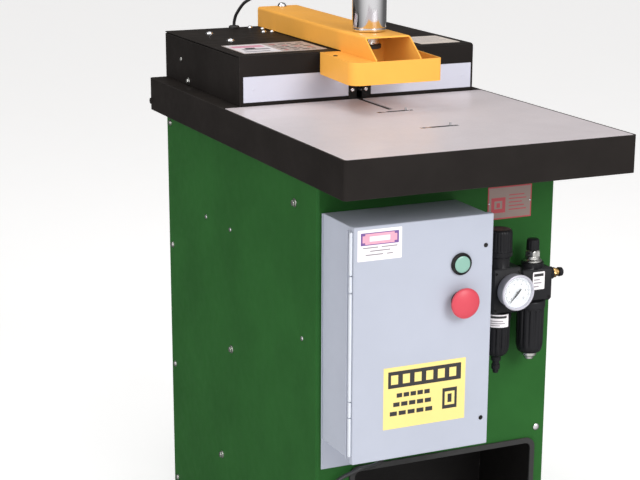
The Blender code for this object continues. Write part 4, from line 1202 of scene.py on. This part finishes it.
def make_housing_details():
    top = high("housing_lid").z
    left = low("housing_side_left").x
    for k, (x, y) in enumerate(((-0.1925, 0.4278), (-0.1932, 0.2972))):
        fastener("lid_bolt_%d" % k, (x, y, top), UP, 0.0078, 0.0042, CHROME, drive="hex", washer=0.0098)
    for k, (x, y) in enumerate(((-0.0666, 0.4950), (-0.0690, 0.4071), (-0.0490, 0.4048), (-0.0490, 0.4600))):
        fastener("lid_screw_%d" % k, (x, y, top), UP, 0.0056, 0.0036, CHROME, drive="dome", washer=0.0066)
    fastener("side_screw", (left, 0.4164, 1.0688), LEFT, 0.0050, 0.0030, ZINC, drive="dome")
    fastener("side_bolt", (left, 0.3714, 1.0259), LEFT, 0.0062, 0.0042, ZINC, drive="hex", washer=0.0082)
    right = high("housing_lid").x
    for k, y in enumerate((0.1200, 0.4164)):
        fastener("right_screw_%d" % k, (right, y, 1.0400), RIGHT, 0.0050, 0.0030, ZINC, drive="dome")
    rear = high("housing_rear").y
    for k, x in enumerate((-0.235, -0.080, 0.095, 0.250)):
        fastener("housing_rear_screw_%d" % k, (x, rear, 1.0950), BACK, 0.0044, 0.0022, ZINC, drive="cross")
    marks = [(0.02, 0.05, 0.47, 0.95, PAPER)]
    marks += [
        (0.05, 0.62, 0.43, 0.84, PAPER_PINK), (0.10, 0.34, 0.42, 0.48, INK_GREY),
        (0.16, 0.46, 0.28, 0.58, INK), (0.06, 0.14, 0.36, 0.22, INK_GREY)
    ]
    for row in range(5):
        for k in range(4):
            u0 = 0.53 + 0.11 * k
            marks.append((
                u0, 0.14 + 0.16 * row, u0 + 0.05 + 0.02 * ((k + row) % 3), 0.20 + 0.16 * row,
                INK if (k + row) % 4 else INK_RED
            ))
    label(
        "lid_notice_left", (-0.2420, -0.0530), (0.0960, 0.2300), top, "XY", 1, PAPER_TAN, marks, radius=0.002
    )
    label("lid_notice_right", (0.1630, 0.2580), (0.0820, 0.1970), top, "XY", 1, PAPER_CREAM, [
        (0.08, 0.80, 0.92, 0.83, INK_GREY), (0.08, 0.66, 0.92, 0.69, INK_GREY),
        (0.08, 0.52, 0.80, 0.55, INK_GREY),
        (0.08, 0.38, 0.88, 0.41, INK_GREY), (0.08, 0.24, 0.70, 0.27, INK_GREY),
    ], radius=0.002)
    label(
        "lid_tag", (0.1180, 0.1480), (0.4350, 0.4550), top, "XY", 1, PAPER_CREAM,
        [(0.1, 0.4, 0.9, 0.6, INK_GREY)]
    )
    # A black hex head sits in the web's hole: a screw head, and painted shade that keeps the hole dark.
    fastener("guard_hole_dark_head", (-0.0824, -0.0065, 1.1201), UP, 0.0048, 0.0015, BLACK_SATIN, drive="hex")
    face = low("notch_block_left").y
    for k, x in enumerate((-0.0085, 0.0226)):
        fastener("notch_screw_%d" % k, (x, face, 1.0350), FRONT, 0.0046, 0.0028, CHROME, drive="hex")
    strip = low("fence_strip_left").y
    for k, x in enumerate((-0.2350, -0.0400)):
        fastener(
            "strip_rivet_%d" % k, (x, strip + 0.0002, 1.0500), FRONT, 0.0030, 0.0004, ALUMINIUM, drive="dome"
        )
    for k, x in enumerate((0.1500, 0.2550)):
        fastener(
            "strip_rivet_right_%d" % k, (x, strip + 0.0002, 1.0500), FRONT, 0.0030, 0.0004, ALUMINIUM,
            drive="dome"
        )


def make_table_details():
    for tag in ("front", "rear"):
        a, b = low("stop_plate_" + tag), high("stop_plate_" + tag)
        y = (a.y + b.y) / 2
        for k, x in enumerate((a.x + 0.0075, b.x - 0.0050)):
            fastener(
                "stop_%s_screw_%d" % (tag, k), (x, y, b.z - 0.0002), UP, 0.0036, 0.0007, INK, drive="hex"
            )
        skin("stop_finger_" + tag, STEEL, "finger_" + tag, 0.0004)
        bm = bmesh.new()
        for edge in (-1, 1):
            near, far = sorted((y + edge * 0.0021, y + edge * 0.0040))
            add_block(bm, (-0.0130, near, b.z - 0.0004), (0.0338, far, b.z + 0.0004), 0.0002)
        piece("stop_%s_liner" % tag, to_mesh(bm, "liner"), PLASTIC, "machine", sharp=30)
        plate = skin("stop_plate_" + tag, ZINC, "machine", 0.0002)
        # The slot's side walls take black ink: painted shade inside the slot.
        plate.data.materials.append(INK)
        for face in plate.data.polygons:
            spot = face.center
            if a.x + 0.004 < spot.x < b.x - 0.004 and abs(spot.y - y) < 0.0040 and abs(face.normal.z) < 0.5:
                face.material_index = 1


def make_pedal():
    skin("pedal_treadle", BLACK_SATIN, "pedal", 0.0010)
    a, b = low("pedal_treadle"), high("pedal_treadle")
    slope = math.tan(math.radians(11))
    bm = bmesh.new()
    for k in range(9):
        y = a.y + 0.030 + k * 0.0105
        z = b.z - 0.0012 - (b.y - y) * slope
        add_block(bm, (a.x + 0.010, y, z - 0.0010), (b.x - 0.010, y + 0.0042, z + 0.0012), 0.0006)
    piece("pedal_ribs", to_mesh(bm, "ribs"), RUBBER, "pedal", sharp=30)
    a, b = low("recess_liner"), high("recess_liner")
    for k, x in enumerate((a.x + 0.030, b.x - 0.030)):
        for j, z in enumerate((a.z + 0.030, b.z - 0.030)):
            fastener(
                "liner_screw_%d_%d" % (k, j), (x, b.y - 0.0022, z), FRONT, 0.0050, 0.0026, ZINC, drive="cross"
            )


# ---- stage, light and camera -------------------------------------------------------------------------
def make_stage():
    bm = bmesh.new()
    bmesh.ops.create_grid(bm, x_segments=2, y_segments=2, size=FLOOR_HALF)
    mesh = to_mesh(bm, "floor")
    pale = look("floor_pale", (0.90, 0.90, 0.90), 0.60, tone=0.01, soften=0)
    shader = pale.node_tree.nodes["Principled BSDF"]
    shader.inputs["Emission Color"].default_value = (1.0, 1.0, 1.0, 1.0)
    shader.inputs["Emission Strength"].default_value = FLOOR_GLOW
    mesh.materials.append(pale)
    floor = bpy.data.objects.new("floor", mesh)
    bpy.context.scene.collection.objects.link(floor)
    floor.visible_glossy = False

    world = bpy.data.worlds.new("studio")
    bpy.context.scene.world = world
    world.use_nodes = True
    tree = world.node_tree
    background = tree.nodes["Background"]
    seen = tree.nodes.new("ShaderNodeBackground")
    seen.inputs["Color"].default_value = (1.0, 1.0, 1.0, 1.0)
    seen.inputs["Strength"].default_value = 1.0
    coordinates = tree.nodes.new("ShaderNodeTexCoord")
    facing = tree.nodes.new("ShaderNodeVectorMath")
    facing.operation = "DOT_PRODUCT"
    facing.inputs[1].default_value = FRONT_OF_ROOM.normalized()
    tree.links.new(coordinates.outputs["Generated"], facing.inputs[0])
    fade = tree.nodes.new("ShaderNodeMapRange")
    fade.interpolation_type = "SMOOTHSTEP"
    for socket, value in zip(fade.inputs[1:5], (FADE_FROM, FADE_TO, WORLD_BACK, WORLD_FRONT)):
        socket.default_value = value
    tree.links.new(facing.outputs["Value"], fade.inputs[0])
    background.inputs["Color"].default_value = ROOM_TINT
    tree.links.new(fade.outputs[0], background.inputs["Strength"])
    path = tree.nodes.new("ShaderNodeLightPath")
    choose = tree.nodes.new("ShaderNodeMixShader")
    tree.links.new(path.outputs["Is Camera Ray"], choose.inputs[0])
    tree.links.new(background.outputs[0], choose.inputs[1])
    tree.links.new(seen.outputs[0], choose.inputs[2])
    tree.links.new(choose.outputs[0], tree.nodes["World Output"].inputs["Surface"])

    for name, at, aim, size, power in LAMPS:
        lamp = bpy.data.lights.new(name, "AREA")
        lamp.shape = "DISK"
        lamp.size = size
        lamp.energy = power
        thing = bpy.data.objects.new(name, lamp)
        thing.location = at
        thing.rotation_euler = (Vector(at) - Vector(aim)).to_track_quat("Z", "Y").to_euler()
        bpy.context.scene.collection.objects.link(thing)
    bpy.context.scene.view_settings.view_transform = "Standard"
    bpy.context.scene.view_settings.look = "None"


FLOOR_HALF = 14.0
FLOOR_GLOW = 0.40
FRONT_OF_ROOM = Vector((-0.22, -0.90, 0.34))  # the side that the light of the room comes from
FADE_FROM, FADE_TO = -0.35, 0.92  # cosines between which the room's light grows
WORLD_BACK, WORLD_FRONT = 0.14, 1.0
ROOM_TINT = (1.0, 0.985, 0.975, 1.0)
LAMPS = [  # name, place, aim, size, watts
    ("key", (0.9, -4.2, 3.0), (0.0, -0.2, 0.8), 2.4, 118.0),
    ("fill", (-4.0, -0.6, 2.0), (0.0, 0.0, 0.8), 2.6, 48.0),
    ("top", (-0.6, 0.6, 3.6), (0.0, 0.0, 1.0), 1.8, 22.0),
]


SENSOR_WIDTH, FOCAL_LENGTH = 36.0, 93.89  # mm
SHIFT_X, SHIFT_Y = 0.03125, 0.0703
CAMERA_AT = (-1.5268, -3.0986, 1.5982)
CAMERA_DOWN, CAMERA_TURN = 15.789, -23.820  # degrees


def make_camera():
    """The camera stands to the operator's left, a little above the table."""
    data = bpy.data.cameras.new("camera")
    data.sensor_width = SENSOR_WIDTH
    data.lens = FOCAL_LENGTH
    data.shift_x = SHIFT_X
    data.shift_y = SHIFT_Y
    camera = bpy.data.objects.new("camera", data)
    camera.location = CAMERA_AT
    camera.rotation_euler = (math.radians(90 - CAMERA_DOWN), 0.0, math.radians(CAMERA_TURN))
    bpy.context.scene.collection.objects.link(camera)
    bpy.context.scene.camera = camera


for make in (
    make_camera, make_cords, make_skins, make_cylinder, make_air_unit, make_controls, make_enclosure,
    make_cabinet_details, make_housing_details, make_table_details, make_pedal, make_stage,
):
    make()
